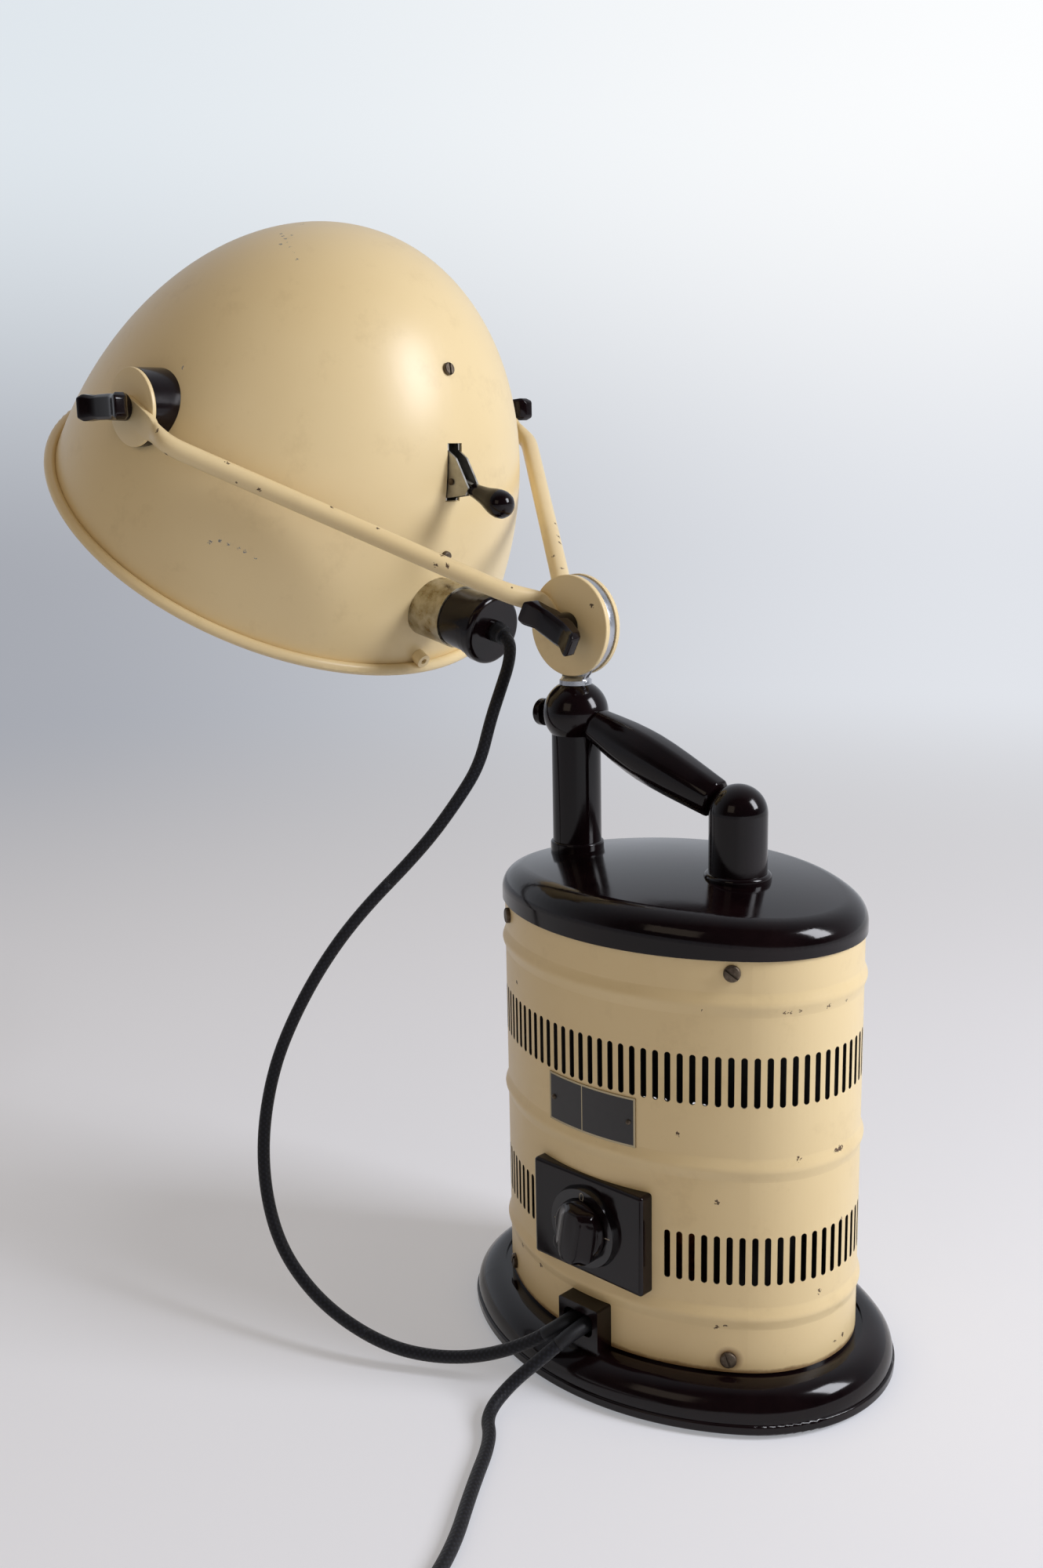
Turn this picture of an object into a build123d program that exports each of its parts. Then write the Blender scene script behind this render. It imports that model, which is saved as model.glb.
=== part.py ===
from build123d import *
from math import acos, asin, atan2, cos, degrees, hypot, pi, radians, sin, sqrt, tan
import os

os.makedirs("parts", exist_ok=True)

# The lamp stands on z = 0 with the middle of its oval base at the origin. +X runs along the
# oval towards the rear post, -Y is the side with the switch, +Z is up. Millimetres and degrees.

# Oval plan of the base, drawn with four tangent arcs
body_half_length = 110.0
body_half_width = 78.5
body_end_radius = 62.0

# Felt, foot flange and sheet metal casing
felt_thickness = 2.5
felt_inset = 5.0
flange_overhang = 22.0
flange_lip_step = 1.2
flange_lip_height = 5.5
flange_height = 22.5
flange_round = 15.0
flange_floor = 6.0
flange_wall = 6.0
flange_valley_width = 4.0
flange_valley_depth = 1.4
lip_height = 16.0
lip_wall = 5.0
shell_wall = 1.2
shell_height = 228.0
shell_fit = 0.2
bead_heights = (56.4, 140.0, 229.4)
bead_half_width = 6.5
bead_depth = 1.7
slot_width = 3.3
slot_length = 27.3
slot_count = 90
upper_slots_z = 188.0
lower_slots_z = 89.0
slot_gap_beside_switch = 2.2

# Bakelite cover, column, ball, post and grip
cover_overhang = 1.4
cover_height = 27.0
cover_round = 14.0
cover_crown_radius = 560.0
cover_wall = 4.0
column_x = -74.5
column_radius = 14.2
column_length = 70.0
column_collar_radius = 15.6
column_collar_height = 6.2
column_spigot_radius = 10.5
column_spigot_length = 9.0
ball_radius = 18.9
ball_height = 76.7
ball_nut_radius = 5.0
post_x = 41.0
post_radius = 15.8
post_height = 33.7
post_collar_radius = 18.2
post_collar_height = 3.0
grip_ball_width = 20.5
grip_middle_width = 28.0
grip_post_width = 22.0
grip_middle_share = 0.47
grip_sides = 8

# Swivel stem, knuckle and the screw that clamps it
stem_radius = 8.0
stem_depth = 58.0
running_gap = 0.06
neck_radius = 9.3
neck_height = 4.4
knuckle_height = 50.2
knuckle_radius = 28.2
knuckle_thickness = 5.6
thumb_screw_radius = 2.5
thumb_knob_radius = 8.0
thumb_knob_thickness = 5.0
thumb_knob_gap = 3.6
thumb_screw_drop = 2.4

# Fork that carries the head
face_gap = 0.15
elbow_disc_radius = 28.8
elbow_disc_thickness = 3.0
elbow_bolt_radius = 4.0
bolt_head_radius = 7.5
bolt_head_height = 4.5
arm_length = 247.4
arm_rise = 30.8
arm_radius = 5.6
arm_pivot_bend = 45.5
arm_elbow_bend = 35.9
arm_elbow_offset = 25.6
arm_end = 26.5
arm_end_offset = 7.4
arm_bend_radius = 11.0
strip_thickness = 3.5
strip_width = 14.0
strip_length = 27.0
strip_taper = 10.0
foot_thickness = 3.6
foot_width = 14.0
foot_inner = 10.0
foot_outer = 32.0
pivot_disc_radius = 22.7
pivot_disc_thickness = 2.6
pivot_bolt_radius = 4.0

# Wing nuts
nut_boss_radius = 8.0
nut_boss_top_radius = 6.0
nut_boss_height = 13.0
nut_wing_reach = 19.0
nut_wing_width = 12.0
nut_wing_low = 11.0
nut_wing_high = 20.5
nut_wing_root = 4.0
elbow_nut_turn = -27.0
pivot_nut_turn = 0.0

# Shade and what it holds, measured from the plane of its rim
head_tilt = 35.25
shade_radius = 153.8
shade_ellipse_height = 220.0
shade_ellipse_drop = 15.0
shade_wall = 1.2
pivot_above_rim = 90.6
spacer_reach = 143.9
rim_tube_radius = 3.6
rim_tube_centre = 156.2
rim_tube_height = 2.6
rim_lip_inner = 147.0
rim_lip_thickness = 1.0
reflector_radius = 149.0
reflector_depth = 96.0
reflector_wall = 1.0
reflector_hole_length = 40.0
reflector_hole_width = 30.0
socket_height = 45.2
socket_tilt = 22.8
socket_radius = 19.3
socket_wall = 1.5
socket_length = 24.3
insert_inner = 5.0
insert_outer = 9.0
plug_body_radius = 18.4
plug_body_length = 16.5
plug_ring_radius = 19.4
plug_ring_length = 6.2
plug_head_radius = 21.2
plug_head_length = 7.0
plug_head_round = 3.0
plug_collar_radius = 6.4
plug_collar_length = 1.5
plug_clearance = 12.0
boss_height = 9.9
boss_radius = 4.5
boss_length = 7.0
boss_hole_radius = 2.0
lower_screw_height = 77.2
lower_screw_turn = 7.1
upper_screw_height = 171.7
upper_screw_turn = 3.0

# Burner, its rocking cradle and the lever that tips it
lever_pin_proud = 3.6
lever_pin_height = 121.6
lever_pin_radius = 2.0
lever_slot_low = 109.0
lever_slot_high = 139.0
lever_slot_width = 11.6
cheek_gap = 3.8
cheek_thickness = 1.3
cheek_tip_proud = 18.3
cheek_tip_height = 124.1
bracket_bar_height = 12.0
bracket_shoulder_low = 98.0
bracket_shoulder_high = 150.0
bracket_shoulder_inset = 20.0
lever_thickness = 3.6
lever_bar_width = 6.0
lever_hub_radius = 5.2
lever_angle = 15.0
lever_knob_start = 9.8
lever_knob_length = 36.2
lever_knob_neck = 3.0
lever_knob_radius = 8.4
lever_inner = 52.0
lever_peg_radius = 1.8
fork_slot = 5.6
fork_width = 14.0
fork_length = 12.0
fork_plate_gap = 2.0
fork_plate_thickness = 1.5
cradle_hub_radius = 5.5
cradle_hub_length = 7.2
cradle_drop = 62.0
cradle_bar = 7.0
cradle_saddle_length = 84.0
cradle_clip_place = 36.0
cradle_clip_width = 6.0
cradle_clip_radius = 10.0
strap_thickness = 2.0
strap_width = 44.0
strap_low = 68.0
strap_high = 182.0
burner_radius = 8.0
burner_wall = 1.2
burner_length = 92.0
burner_cap_radius = 10.0
burner_cap_length = 16.0
heater_offset = 46.0
heater_radius = 5.0
heater_length = 120.0
heater_height = 64.0
heater_post_radius = 3.0
heater_post_place = 50.0
heater_post_top = 92.0

# Screws
body_screw_x = 78.0
upper_body_screw_z = 246.5
lower_body_screw_z = 32.5
screw_head_radius = 4.4
screw_head_height = 2.4
screw_shank_radius = 2.0
screw_shank_length = 5.5
screw_slot_width = 1.2
screw_slot_depth = 1.2
shade_screw_head_radius = 3.8

# Switch, nameplate and cable inlet on the front side
front_x = 2.0
switch_z = 93.0
switch_width = 77.0
switch_height = 57.0
switch_proud = 3.0
switch_bevel = 2.0
dial_radius = 23.1
dial_top_radius = 22.0
dial_height = 3.8
dial_mark_radius = 18.2
dial_mark_size = 5.0
dial_mark_depth = 0.5
knob_radius = 14.5
knob_base_height = 4.0
knob_height = 17.0
knob_bar_length = 31.0
knob_bar_width = 11.0
knob_pointer_reach = 19.5
knob_pointer_width = 10.0
knob_pointer_angle = 208.0
knob_dimple_radius = 2.2
switch_shaft_radius = 3.0
spindle_reach = 30.0
switch_block_size = 40.0
switch_block_depth = 24.0
switch_block_setback = 10.0
nameplate_z = 159.2
nameplate_width = 60.0
nameplate_height = 27.5
nameplate_thickness = 0.8
nameplate_gap = 0.15
rivet_radius = 1.5
rivet_height = 0.9
rivet_spread = 26.0
inlet_z = 39.0
inlet_width = 28.0
inlet_height = 22.0
inlet_proud = 10.5
inlet_recess_width = 20.4
inlet_recess_height = 13.0
inlet_recess_depth = 8.0
gland_thickness = 2.4

# Ballast inside the base
chassis_thickness = 3.0
choke_x = 22.0
choke_length = 76.0
choke_width = 64.0
choke_height = 92.0
choke_window = 18.0
choke_limb = 18.0
coil_overhang = 12.0
capacitor_x = -62.0
capacitor_y = 22.0
capacitor_radius = 18.0
capacitor_height = 78.0
terminal_x = -42.0
terminal_y = -34.0
terminal_length = 40.0
terminal_width = 16.0
terminal_height = 20.0

# Cords
cord_radius = 3.6
cord_spacing = 9.2
cord_rest = 3.65
coil_inner_radius = 28.0
coil_pitch = 7.7
coil_turns = 3
coil_centre = (131.0, -301.0)
coil_lift = 7.7
coil_start_angle = 200.0
coil_run = 90.0
coil_leave = 10.0
coil_drop_run = 30.0
mains_plug_radius = 18.0
mains_plug_length = 34.0
mains_plug_waist = 11.0
mains_pin_radius = 2.4
mains_pin_length = 19.0
mains_pin_spread = 19.0

# Places worked out from the sizes above
end_centre = body_half_length - body_end_radius
side_centre = (end_centre**2 - (body_half_width - body_end_radius) ** 2) / (
    2 * (body_half_width - body_end_radius)
)
body_side_radius = body_half_width + side_centre
switch_front_y = -body_half_width - switch_proud
inlet_front_y = -body_half_width - inlet_proud
join_angle = degrees(atan2(side_centre, end_centre))
flange_top = felt_thickness + flange_height
shell_bottom = flange_top
shell_top = shell_bottom + shell_height
cover_top = shell_top + cover_height
ball_z = cover_top + ball_height
elbow_z = ball_z + knuckle_height
elbow = Vector(column_x, 0, elbow_z)
arm_direction = Vector(-cos(radians(arm_rise)), 0, sin(radians(arm_rise)))
pivot = elbow + arm_direction * arm_length
head_up = Vector(sin(radians(head_tilt)), 0, cos(radians(head_tilt)))
head_out = Vector(cos(radians(head_tilt)), 0, -sin(radians(head_tilt)))
rim_centre = pivot - head_up * pivot_above_rim
head_plane = Plane(origin=rim_centre, x_dir=head_out, z_dir=head_up)
fork_plane = Plane(
    origin=pivot, x_dir=-arm_direction, z_dir=(sin(radians(arm_rise)), 0, cos(radians(arm_rise)))
)
disc_face = knuckle_thickness / 2 + face_gap + elbow_disc_thickness
pivot_disc_face = spacer_reach + face_gap + pivot_disc_thickness
strip_face = pivot_disc_face + strip_thickness


def save(shape, name):
    """Write one named piece."""
    export_step(shape, f"parts/{name}.step")


def oval_edges(grow):
    """The oval's arcs, anticlockwise from its +X end, grown outwards by grow."""
    end_r = body_end_radius + grow
    side_r = body_side_radius + grow
    side_sweep = 180 - 2 * join_angle
    return [
        CenterArc((end_centre, 0), end_r, 0, join_angle),
        CenterArc((0, -side_centre), side_r, join_angle, side_sweep),
        CenterArc((-end_centre, 0), end_r, 180 - join_angle, 2 * join_angle),
        CenterArc((0, side_centre), side_r, 180 + join_angle, side_sweep),
        CenterArc((end_centre, 0), end_r, -join_angle, join_angle),
    ]


def prism(grow, low, high):
    """Upright solid on the grown oval, between two heights."""
    return Pos(0, 0, low) * extrude(make_face(oval_edges(grow)), amount=high - low)


def side_station(s):
    """Point and outward angle at arc length s along the oval from the middle of its front side."""
    half_side = radians(90 - join_angle) * body_side_radius
    end_arc = radians(2 * join_angle) * body_end_radius
    full = 2 * (2 * half_side + end_arc)
    s = (s + half_side) % full - half_side
    for turn in (0, 180):
        if s <= half_side:
            angle = -90 + degrees(s / body_side_radius)
            x = body_side_radius * cos(radians(angle))
            y = side_centre + body_side_radius * sin(radians(angle))
            return spin(x, y, angle, turn)
        s = s - half_side
        if s <= end_arc:
            angle = -join_angle + degrees(s / body_end_radius)
            x = end_centre + body_end_radius * cos(radians(angle))
            y = body_end_radius * sin(radians(angle))
            return spin(x, y, angle, turn)
        s = s - end_arc - half_side
    return spin(0, -body_half_width, -90, 0)


def spin(x, y, angle, turn):
    """Turn a point and its outward angle about the middle of the oval."""
    c, s = cos(radians(turn)), sin(radians(turn))
    return x * c - y * s, x * s + y * c, angle + turn


def oval_length():
    """Length once round the oval."""
    side = radians(180 - 2 * join_angle) * body_side_radius
    end = radians(2 * join_angle) * body_end_radius
    return 2 * (side + end)


def outward_plane(x, y, z, angle):
    """Plane on the casing whose normal points outwards and whose x runs upwards."""
    normal = (cos(radians(angle)), sin(radians(angle)), 0)
    return Plane(origin=(x, y, z), x_dir=(0, 0, 1), z_dir=normal)


def screw(head_radius, shank_length, slot_turn):
    """Cheese-head screw, seated at z = 0 with its head upwards."""
    head = Pos(0, 0, screw_head_height / 2) * Cylinder(head_radius, screw_head_height)
    head = fillet(head.edges().group_by(Axis.Z)[-1], screw_head_height * 0.45)
    shank = Pos(0, 0, -shank_length / 2) * Cylinder(screw_shank_radius, shank_length)
    slot = Pos(0, 0, screw_head_height) * Box(2 * head_radius, screw_slot_width, 2 * screw_slot_depth)
    return head + shank - Rot(0, 0, slot_turn) * slot


def wing_nut(bore):
    """Bakelite wing nut, seated at z = 0, with its wings along X."""
    boss = Cone(nut_boss_radius, nut_boss_top_radius, nut_boss_height, align=(Align.CENTER,) * 2 + (Align.MIN,))
    nut = boss
    for side in (1, -1):
        outline = Polyline(
            (0, 0.5),
            (side * nut_boss_radius * 0.7, nut_wing_root),
            (side * nut_wing_reach, nut_wing_low),
            (side * (nut_wing_reach + 1.5), nut_wing_high - 6),
            (side * (nut_wing_reach - 3), nut_wing_high),
            (side * nut_boss_top_radius, nut_boss_height + 1),
            (0, nut_boss_height - 1),
            close=True,
        )
        wing = extrude(Plane.XZ * make_face(outline), amount=nut_wing_width / 2, both=True)
        tips = wing.edges().filter_by(Axis.Y).group_by(Axis.X)[-1 if side > 0 else 0]
        nut += fillet(tips, 2.0)
    hole = Cylinder(bore, 4 * nut_boss_height)
    return nut - hole


def dome(radius, height, low, high):
    """Turned solid inside the half ellipse of a shade skin, between two heights above the rim."""
    skin = Pos(0, -shade_ellipse_drop) * Ellipse(radius, height)
    window = Pos(0, low) * Rectangle(radius, high - low, align=(Align.MIN, Align.MIN))
    half = skin & window
    return revolve(Plane.XZ * half, axis=Axis.Z)


def skin_radius(height, radius, ellipse_height):
    """Radius of the half ellipse at a height above the rim."""
    share = (height + shade_ellipse_drop) / ellipse_height
    return radius * sqrt(1 - share**2)


def skin_normal(height):
    """Angle above horizontal of the shade's outward normal at a height above its rim."""
    r = skin_radius(height, shade_radius, shade_ellipse_height)
    slope = (shade_radius / shade_ellipse_height) ** 2 * (height + shade_ellipse_drop) / r
    return degrees(atan2(slope, 1))


def shade_plane(height):
    """Plane on the shade's skin, on the meridian that faces the elbow, normal outwards."""
    r = skin_radius(height, shade_radius, shade_ellipse_height)
    tilt = radians(skin_normal(height))
    return Plane(origin=(r, 0, height), x_dir=(-sin(tilt), 0, cos(tilt)), z_dir=(cos(tilt), 0, sin(tilt)))


def cord_radii(points, name):
    """Radius of each corner arc along a cord's route."""
    radii = []
    for before, here, after in zip(points, points[1:], points[2:]):
        run_in = Vector(*here) - Vector(*before)
        run_out = Vector(*after) - Vector(*here)
        turn = run_in.get_angle(run_out)
        radii.append(0.45 * min(run_in.length, run_out.length) / tan(radians(turn / 2)))
    print(name, "corner radii", [round(r, 1) for r in radii])
    return radii


def cord_tube(points, name):
    """Round cord along straight runs joined by tangent arcs."""
    path = FilletPolyline(*points, radius=cord_radii(points, name))
    start = Plane(origin=path @ 0, z_dir=path % 0)
    tube = sweep(start * Circle(cord_radius), path=path)
    expected = pi * cord_radius**2 * path.length
    print(name, "length", round(path.length, 1), "volume share", round(tube.volume / expected, 4))
    return tube


# Felt under the foot, a flat mat glued to the flange
save(prism(flange_overhang - felt_inset, 0, felt_thickness), "felt_mat")

# Foot flange: one moulding with a raised lip inside the casing for the lower screws
flange = prism(flange_overhang - flange_lip_step, felt_thickness, flange_top)
flange = fillet(flange.edges().group_by(Axis.Z)[-1], flange_round)
lip_edge = prism(flange_overhang, felt_thickness, felt_thickness + flange_lip_height)
lip_edge = fillet(lip_edge.edges().group_by(Axis.Z)[-1], flange_lip_step)
lip_edge = fillet(lip_edge.edges().group_by(Axis.Z)[0], flange_lip_step)
valley = prism(flange_valley_width, flange_top - flange_valley_depth, flange_top + 1) - prism(
    0, flange_top - flange_valley_depth - 1, flange_top + 2
)
lip_outer = -shell_wall - shell_fit
flange = flange + lip_edge - valley
flange += prism(lip_outer, flange_top - 1, flange_top + lip_height)
flange -= prism(lip_outer - lip_wall, felt_thickness + flange_floor, flange_top + lip_height + 1)

# Cover: domed moulding that closes the casing, with a lip for the upper screws
crown_centre = Pos(0, 0, cover_top - cover_crown_radius) * Rot(90, 0, 0)
crown = crown_centre * Sphere(cover_crown_radius)
cover = prism(cover_overhang, shell_top, cover_top + 1) & crown
crown_edge = cover.edges().filter_by_position(Axis.Z, shell_top + 1, cover_top)
cover = fillet(crown_edge.filter_by(GeomType.LINE, reverse=True), cover_round)
hollow = prism(cover_overhang - cover_wall, shell_top - 1, cover_top + 1)
hollow &= crown_centre * Sphere(cover_crown_radius - cover_wall)
hollow_edge = hollow.edges().filter_by_position(Axis.Z, shell_top + 1, cover_top)
hollow = fillet(hollow_edge.filter_by(GeomType.LINE, reverse=True), cover_round - cover_wall)
cover -= hollow
cover += prism(lip_outer, shell_top - lip_height, shell_top) - prism(
    lip_outer - lip_wall, shell_top - lip_height - 1, shell_top + 1
)
cover += prism(cover_overhang - cover_wall + 0.5, shell_top - 0.01, shell_top + 2) - prism(
    lip_outer - lip_wall, shell_top - 1, shell_top + 3
)

# Casing of sheet metal with three rolled beads and two rows of louvre slots
casing = prism(0, shell_bottom, shell_top) - prism(-shell_wall, shell_bottom - 1, shell_top + 1)
for bead_z in bead_heights:
    section = make_face(
        [
            Spline(
                (body_half_length, bead_z - bead_half_width),
                (body_half_length + bead_depth / 2, bead_z - bead_half_width / 2),
                (body_half_length + bead_depth, bead_z),
                (body_half_length + bead_depth / 2, bead_z + bead_half_width / 2),
                (body_half_length, bead_z + bead_half_width),
                tangents=((0, 1), (0, 1)),
            ),
            Polyline(
                (body_half_length, bead_z + bead_half_width),
                (body_half_length - shell_wall / 2, bead_z + bead_half_width),
                (body_half_length - shell_wall / 2, bead_z - bead_half_width),
                (body_half_length, bead_z - bead_half_width),
            ),
        ]
    )
    casing += sweep(Plane.XZ * section, path=Wire(oval_edges(0)))
slot_face = SlotOverall(slot_length, slot_width)
louvres = []
slot_pitch = oval_length() / slot_count
for i in range(slot_count):
    x, y, angle = side_station((i + 0.5) * slot_pitch)
    beside_switch = y < 0 and abs(x - front_x) < switch_width / 2 + slot_gap_beside_switch
    rows = (upper_slots_z,) if beside_switch else (upper_slots_z, lower_slots_z)
    for z in rows:
        louvres.append(extrude(outward_plane(x, y, z, angle) * slot_face, amount=2 * shell_wall, both=True))
casing = casing - louvres

# Body screws through the casing into the two lips
body_screws = []
for x_side in (1, -1):
    for y_side in (1, -1):
        out = degrees(asin(body_screw_x / body_side_radius))
        y = -side_centre + sqrt(body_side_radius**2 - body_screw_x**2)
        angle = (90 - out) if x_side > 0 else (90 + out)
        for z in (lower_body_screw_z, upper_body_screw_z):
            plane = outward_plane(x_side * body_screw_x, y_side * y, z, y_side * angle)
            hole = plane * Cylinder(screw_shank_radius, 2 * screw_shank_length)
            casing -= hole
            if z < shell_top / 2:
                flange -= hole
            else:
                cover -= hole
            turn = 25 * x_side + 40 * y_side + z
            body_screws.append(plane * screw(screw_head_radius, screw_shank_length, turn))
save(Compound(body_screws), "body_screws")

# Switch: plate, dial, knob on its shaft, and the rotary switch behind the casing
front_window = Pos(front_x, 0, switch_z) * Box(switch_width, 4 * body_half_width, switch_height)
plate_back = (switch_front_y - body_half_width) / 2
plate_block = Pos(front_x, (switch_front_y + plate_back) / 2 + 20, switch_z) * Box(
    switch_width, plate_back - switch_front_y + 40, switch_height
)
front_side = plate_block.faces().sort_by(Axis.Y)[0]
plate_block = fillet(front_side.edges() + plate_block.edges().filter_by(Axis.Y), switch_bevel)
plate_block = plate_block & Pos(front_x, -body_half_width, switch_z) * Box(
    switch_width, body_half_width, switch_height
)
shaft_axis = Plane(origin=(front_x, switch_front_y, switch_z), x_dir=(1, 0, 0), z_dir=(0, -1, 0))
shaft_hole = shaft_axis * Cylinder(switch_shaft_radius + running_gap, body_half_width)
switch_plate = plate_block - prism(0, shell_bottom, shell_top) - shaft_hole
save(switch_plate, "switch_plate")
casing -= shaft_axis * Cylinder(2 * switch_shaft_radius, body_half_width)

dial = shaft_axis * Cone(dial_radius, dial_top_radius, dial_height, align=(Align.CENTER,) * 2 + (Align.MIN,))
dial -= shaft_hole
mark_face = Plane(
    origin=(front_x, switch_front_y - dial_height, switch_z), x_dir=(1, 0, 0), z_dir=(0, -1, 0)
)
for quarter in range(4):
    angle = radians(90 * quarter)
    place = Pos(dial_mark_radius * sin(angle), dial_mark_radius * cos(angle), 0)
    if quarter % 2:
        mark = Box(dial_mark_size * 0.7, 0.8, 2 * dial_mark_depth)
    else:
        ring = Ellipse(dial_mark_size * 0.34, dial_mark_size * 0.5)
        inner = Ellipse(dial_mark_size * 0.34 - 0.7, dial_mark_size * 0.5 - 0.7)
        mark = extrude(ring - inner, amount=dial_mark_depth, both=True)
    dial -= mark_face * (place * mark)
save(dial, "switch_dial")

knob_seat = dial_height + face_gap
knob = Pos(0, 0, knob_seat + knob_base_height / 2) * Cylinder(knob_radius, knob_base_height)
pointer = Pos(knob_pointer_reach / 2, 0, knob_seat + knob_base_height / 2) * Box(
    knob_pointer_reach, knob_pointer_width, knob_base_height
)
pointer = fillet(pointer.edges().filter_by(Axis.Z).group_by(Axis.X)[-1], knob_pointer_width * 0.45)
dimple = Pos(knob_pointer_reach - 1.6 * knob_dimple_radius, 0, knob_seat + knob_base_height) * Sphere(
    knob_dimple_radius
)
bar = Pos(0, 0, knob_seat + knob_height / 2) * Box(knob_bar_length, knob_bar_width, knob_height)
bar = fillet(bar.edges().filter_by(Axis.Z), knob_bar_width * 0.45)
bar = fillet(bar.edges().group_by(Axis.Z)[-1], 3.0)
ball_grip = Pos(0, 0, knob_seat + knob_base_height) * Sphere(knob_radius * 0.86)
ball_grip &= Pos(0, 0, knob_seat + knob_height) * Box(60, 60, 2 * (knob_height - knob_base_height))
knob = knob + pointer + (Rot(0, 0, 35) * bar) + ball_grip - dimple
spindle_top = knob_seat + knob_base_height
spindle = Pos(0, 0, (spindle_top - spindle_reach) / 2) * Cylinder(
    switch_shaft_radius, spindle_top + spindle_reach
)
save(shaft_axis * (Rot(0, 0, knob_pointer_angle) * (knob + spindle)), "switch_knob")
block_front = switch_front_y + switch_block_setback
block_plane = Plane(origin=(front_x, block_front, switch_z), x_dir=(1, 0, 0), z_dir=(0, 1, 0))
switch_block = extrude(
    block_plane * RectangleRounded(switch_block_size, switch_block_size, 4), amount=switch_block_depth
)
save(switch_block - shaft_hole, "rotary_switch")

# Nameplate, left blank, curved to the casing, and its two rivets
name_window = Pos(front_x, -body_half_width, nameplate_z) * Box(
    nameplate_width, body_half_width, nameplate_height
)
nameplate = prism(nameplate_thickness, shell_bottom, shell_top) - prism(
    nameplate_gap, shell_bottom - 1, shell_top + 1
)
nameplate &= name_window
rivets = []
for side in (1, -1):
    x = front_x + side * rivet_spread
    y = side_centre - sqrt((body_side_radius + nameplate_thickness) ** 2 - x**2)
    angle = degrees(atan2(y - side_centre, x))
    rivet_plane = outward_plane(x, y, nameplate_z, angle)
    dome_head = Sphere(rivet_radius) & Pos(0, 0, rivet_radius) * Box(9, 9, 2 * rivet_radius)
    pin = Pos(0, 0, -1) * Cylinder(rivet_radius * 0.5, 2)
    rivets.append(rivet_plane * (dome_head + pin))
    hole = rivet_plane * Cylinder(rivet_radius * 0.5, 8)
    nameplate -= hole
    casing -= hole
save(nameplate, "nameplate")
save(Compound(rivets), "nameplate_rivets")

# Cable inlet: moulded block at the foot of the casing with a recess for the two cords
inlet_low = flange_top - flange_valley_depth
inlet_top = inlet_z + inlet_height / 2
inlet = Pos(front_x, inlet_front_y + 8, (inlet_low + inlet_top) / 2) * Box(
    inlet_width, 16, inlet_top - inlet_low
)
inlet = fillet(inlet.edges().filter_by(Axis.Y).group_by(Axis.Z)[-1], 1.2)
inlet -= prism(0, 0, shell_top)
recess = Pos(front_x, inlet_front_y, inlet_z) * Box(
    inlet_recess_width, 2 * inlet_recess_depth, inlet_recess_height
)
recess = fillet(recess.edges().filter_by(Axis.Y), 4)
save(inlet - recess, "cable_inlet")
gland_front = inlet_front_y + inlet_recess_depth
gland = Pos(front_x, gland_front + gland_thickness / 2, inlet_z) * Box(
    inlet_recess_width - 0.4, gland_thickness, inlet_recess_height - 0.4
)
gland = fillet(gland.edges().filter_by(Axis.Y), 3.8)
gland_recess = fillet(
    (
        Pos(front_x, gland_front + gland_thickness / 2, inlet_z)
        * Box(inlet_recess_width, gland_thickness + 0.01, inlet_recess_height)
    )
    .edges()
    .filter_by(Axis.Y),
    4,
)
inlet = inlet - recess - gland_recess - flange
save(inlet, "cable_inlet")
save(gland, "inlet_gland")
save(casing, "casing")
save(flange, "foot_flange")

# Ballast and switchgear inside: chassis plate, choke, capacitor and terminal block
chassis_low = felt_thickness + flange_floor
chassis_top = chassis_low + chassis_thickness
save(prism(-2 * cover_wall, chassis_low, chassis_top), "chassis_plate")
core_middle = chassis_top + choke_height / 2
core = Pos(choke_x, 0, core_middle) * Box(choke_length, choke_width, choke_height)
window_place = (choke_length / 2 - choke_limb + choke_window / 2) - choke_window
window_height = choke_height - 2 * choke_limb
coil_block = Pos(choke_x, 0, core_middle) * Box(
    2 * window_place + choke_window, choke_width + 2 * coil_overhang, window_height
)
coil_block = fillet(coil_block.edges().filter_by(Axis.Z), coil_overhang * 0.8)
centre_limb = Pos(choke_x, 0, core_middle) * Box(
    2 * window_place - choke_window, choke_width, choke_height
)
for side in (1, -1):
    core -= Pos(choke_x + side * window_place, 0, core_middle) * Box(
        choke_window, 2 * choke_width, window_height
    )
save(core, "choke_core")
save(coil_block - centre_limb, "choke_winding")
can = Pos(capacitor_x, capacitor_y, chassis_top) * Cylinder(
    capacitor_radius, capacitor_height, align=(Align.CENTER, Align.CENTER, Align.MIN)
)
can = fillet(can.edges().group_by(Axis.Z)[-1], 3)
save(can, "capacitor")
block = Pos(terminal_x, terminal_y, chassis_top + terminal_height / 2) * Box(
    terminal_length, terminal_width, terminal_height
)
for i in range(4):
    x = terminal_x + terminal_length * (i - 1.5) / 4
    block -= Pos(x, terminal_y, chassis_top + terminal_height) * Cylinder(3, terminal_height)
save(block, "terminal_block")

# Column with its foot collar, the ball on top of it, the rear post and the grip between them
upright = (Align.CENTER, Align.CENTER, Align.MIN)
top_axis = Pos(column_x, 0, 0)
ball_solid = Pos(column_x, 0, ball_z) * Sphere(ball_radius)
column_foot = cover_top - column_x**2 / (2 * cover_crown_radius)
foot_depth = 4 * cover_wall
column = top_axis * Pos(0, 0, column_foot - foot_depth) * Cylinder(
    column_radius, ball_z - column_foot + foot_depth, align=upright
)
collar = top_axis * Pos(0, 0, column_foot - foot_depth) * Cylinder(
    column_collar_radius, column_collar_height + foot_depth, align=upright
)
collar = fillet(collar.edges().group_by(Axis.Z)[-1], (column_collar_radius - column_radius) * 0.9)
column_spigot = top_axis * Pos(0, 0, column_foot - column_spigot_length) * Cylinder(
    column_spigot_radius, column_spigot_length + column_collar_height / 2, align=upright
)
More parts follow.
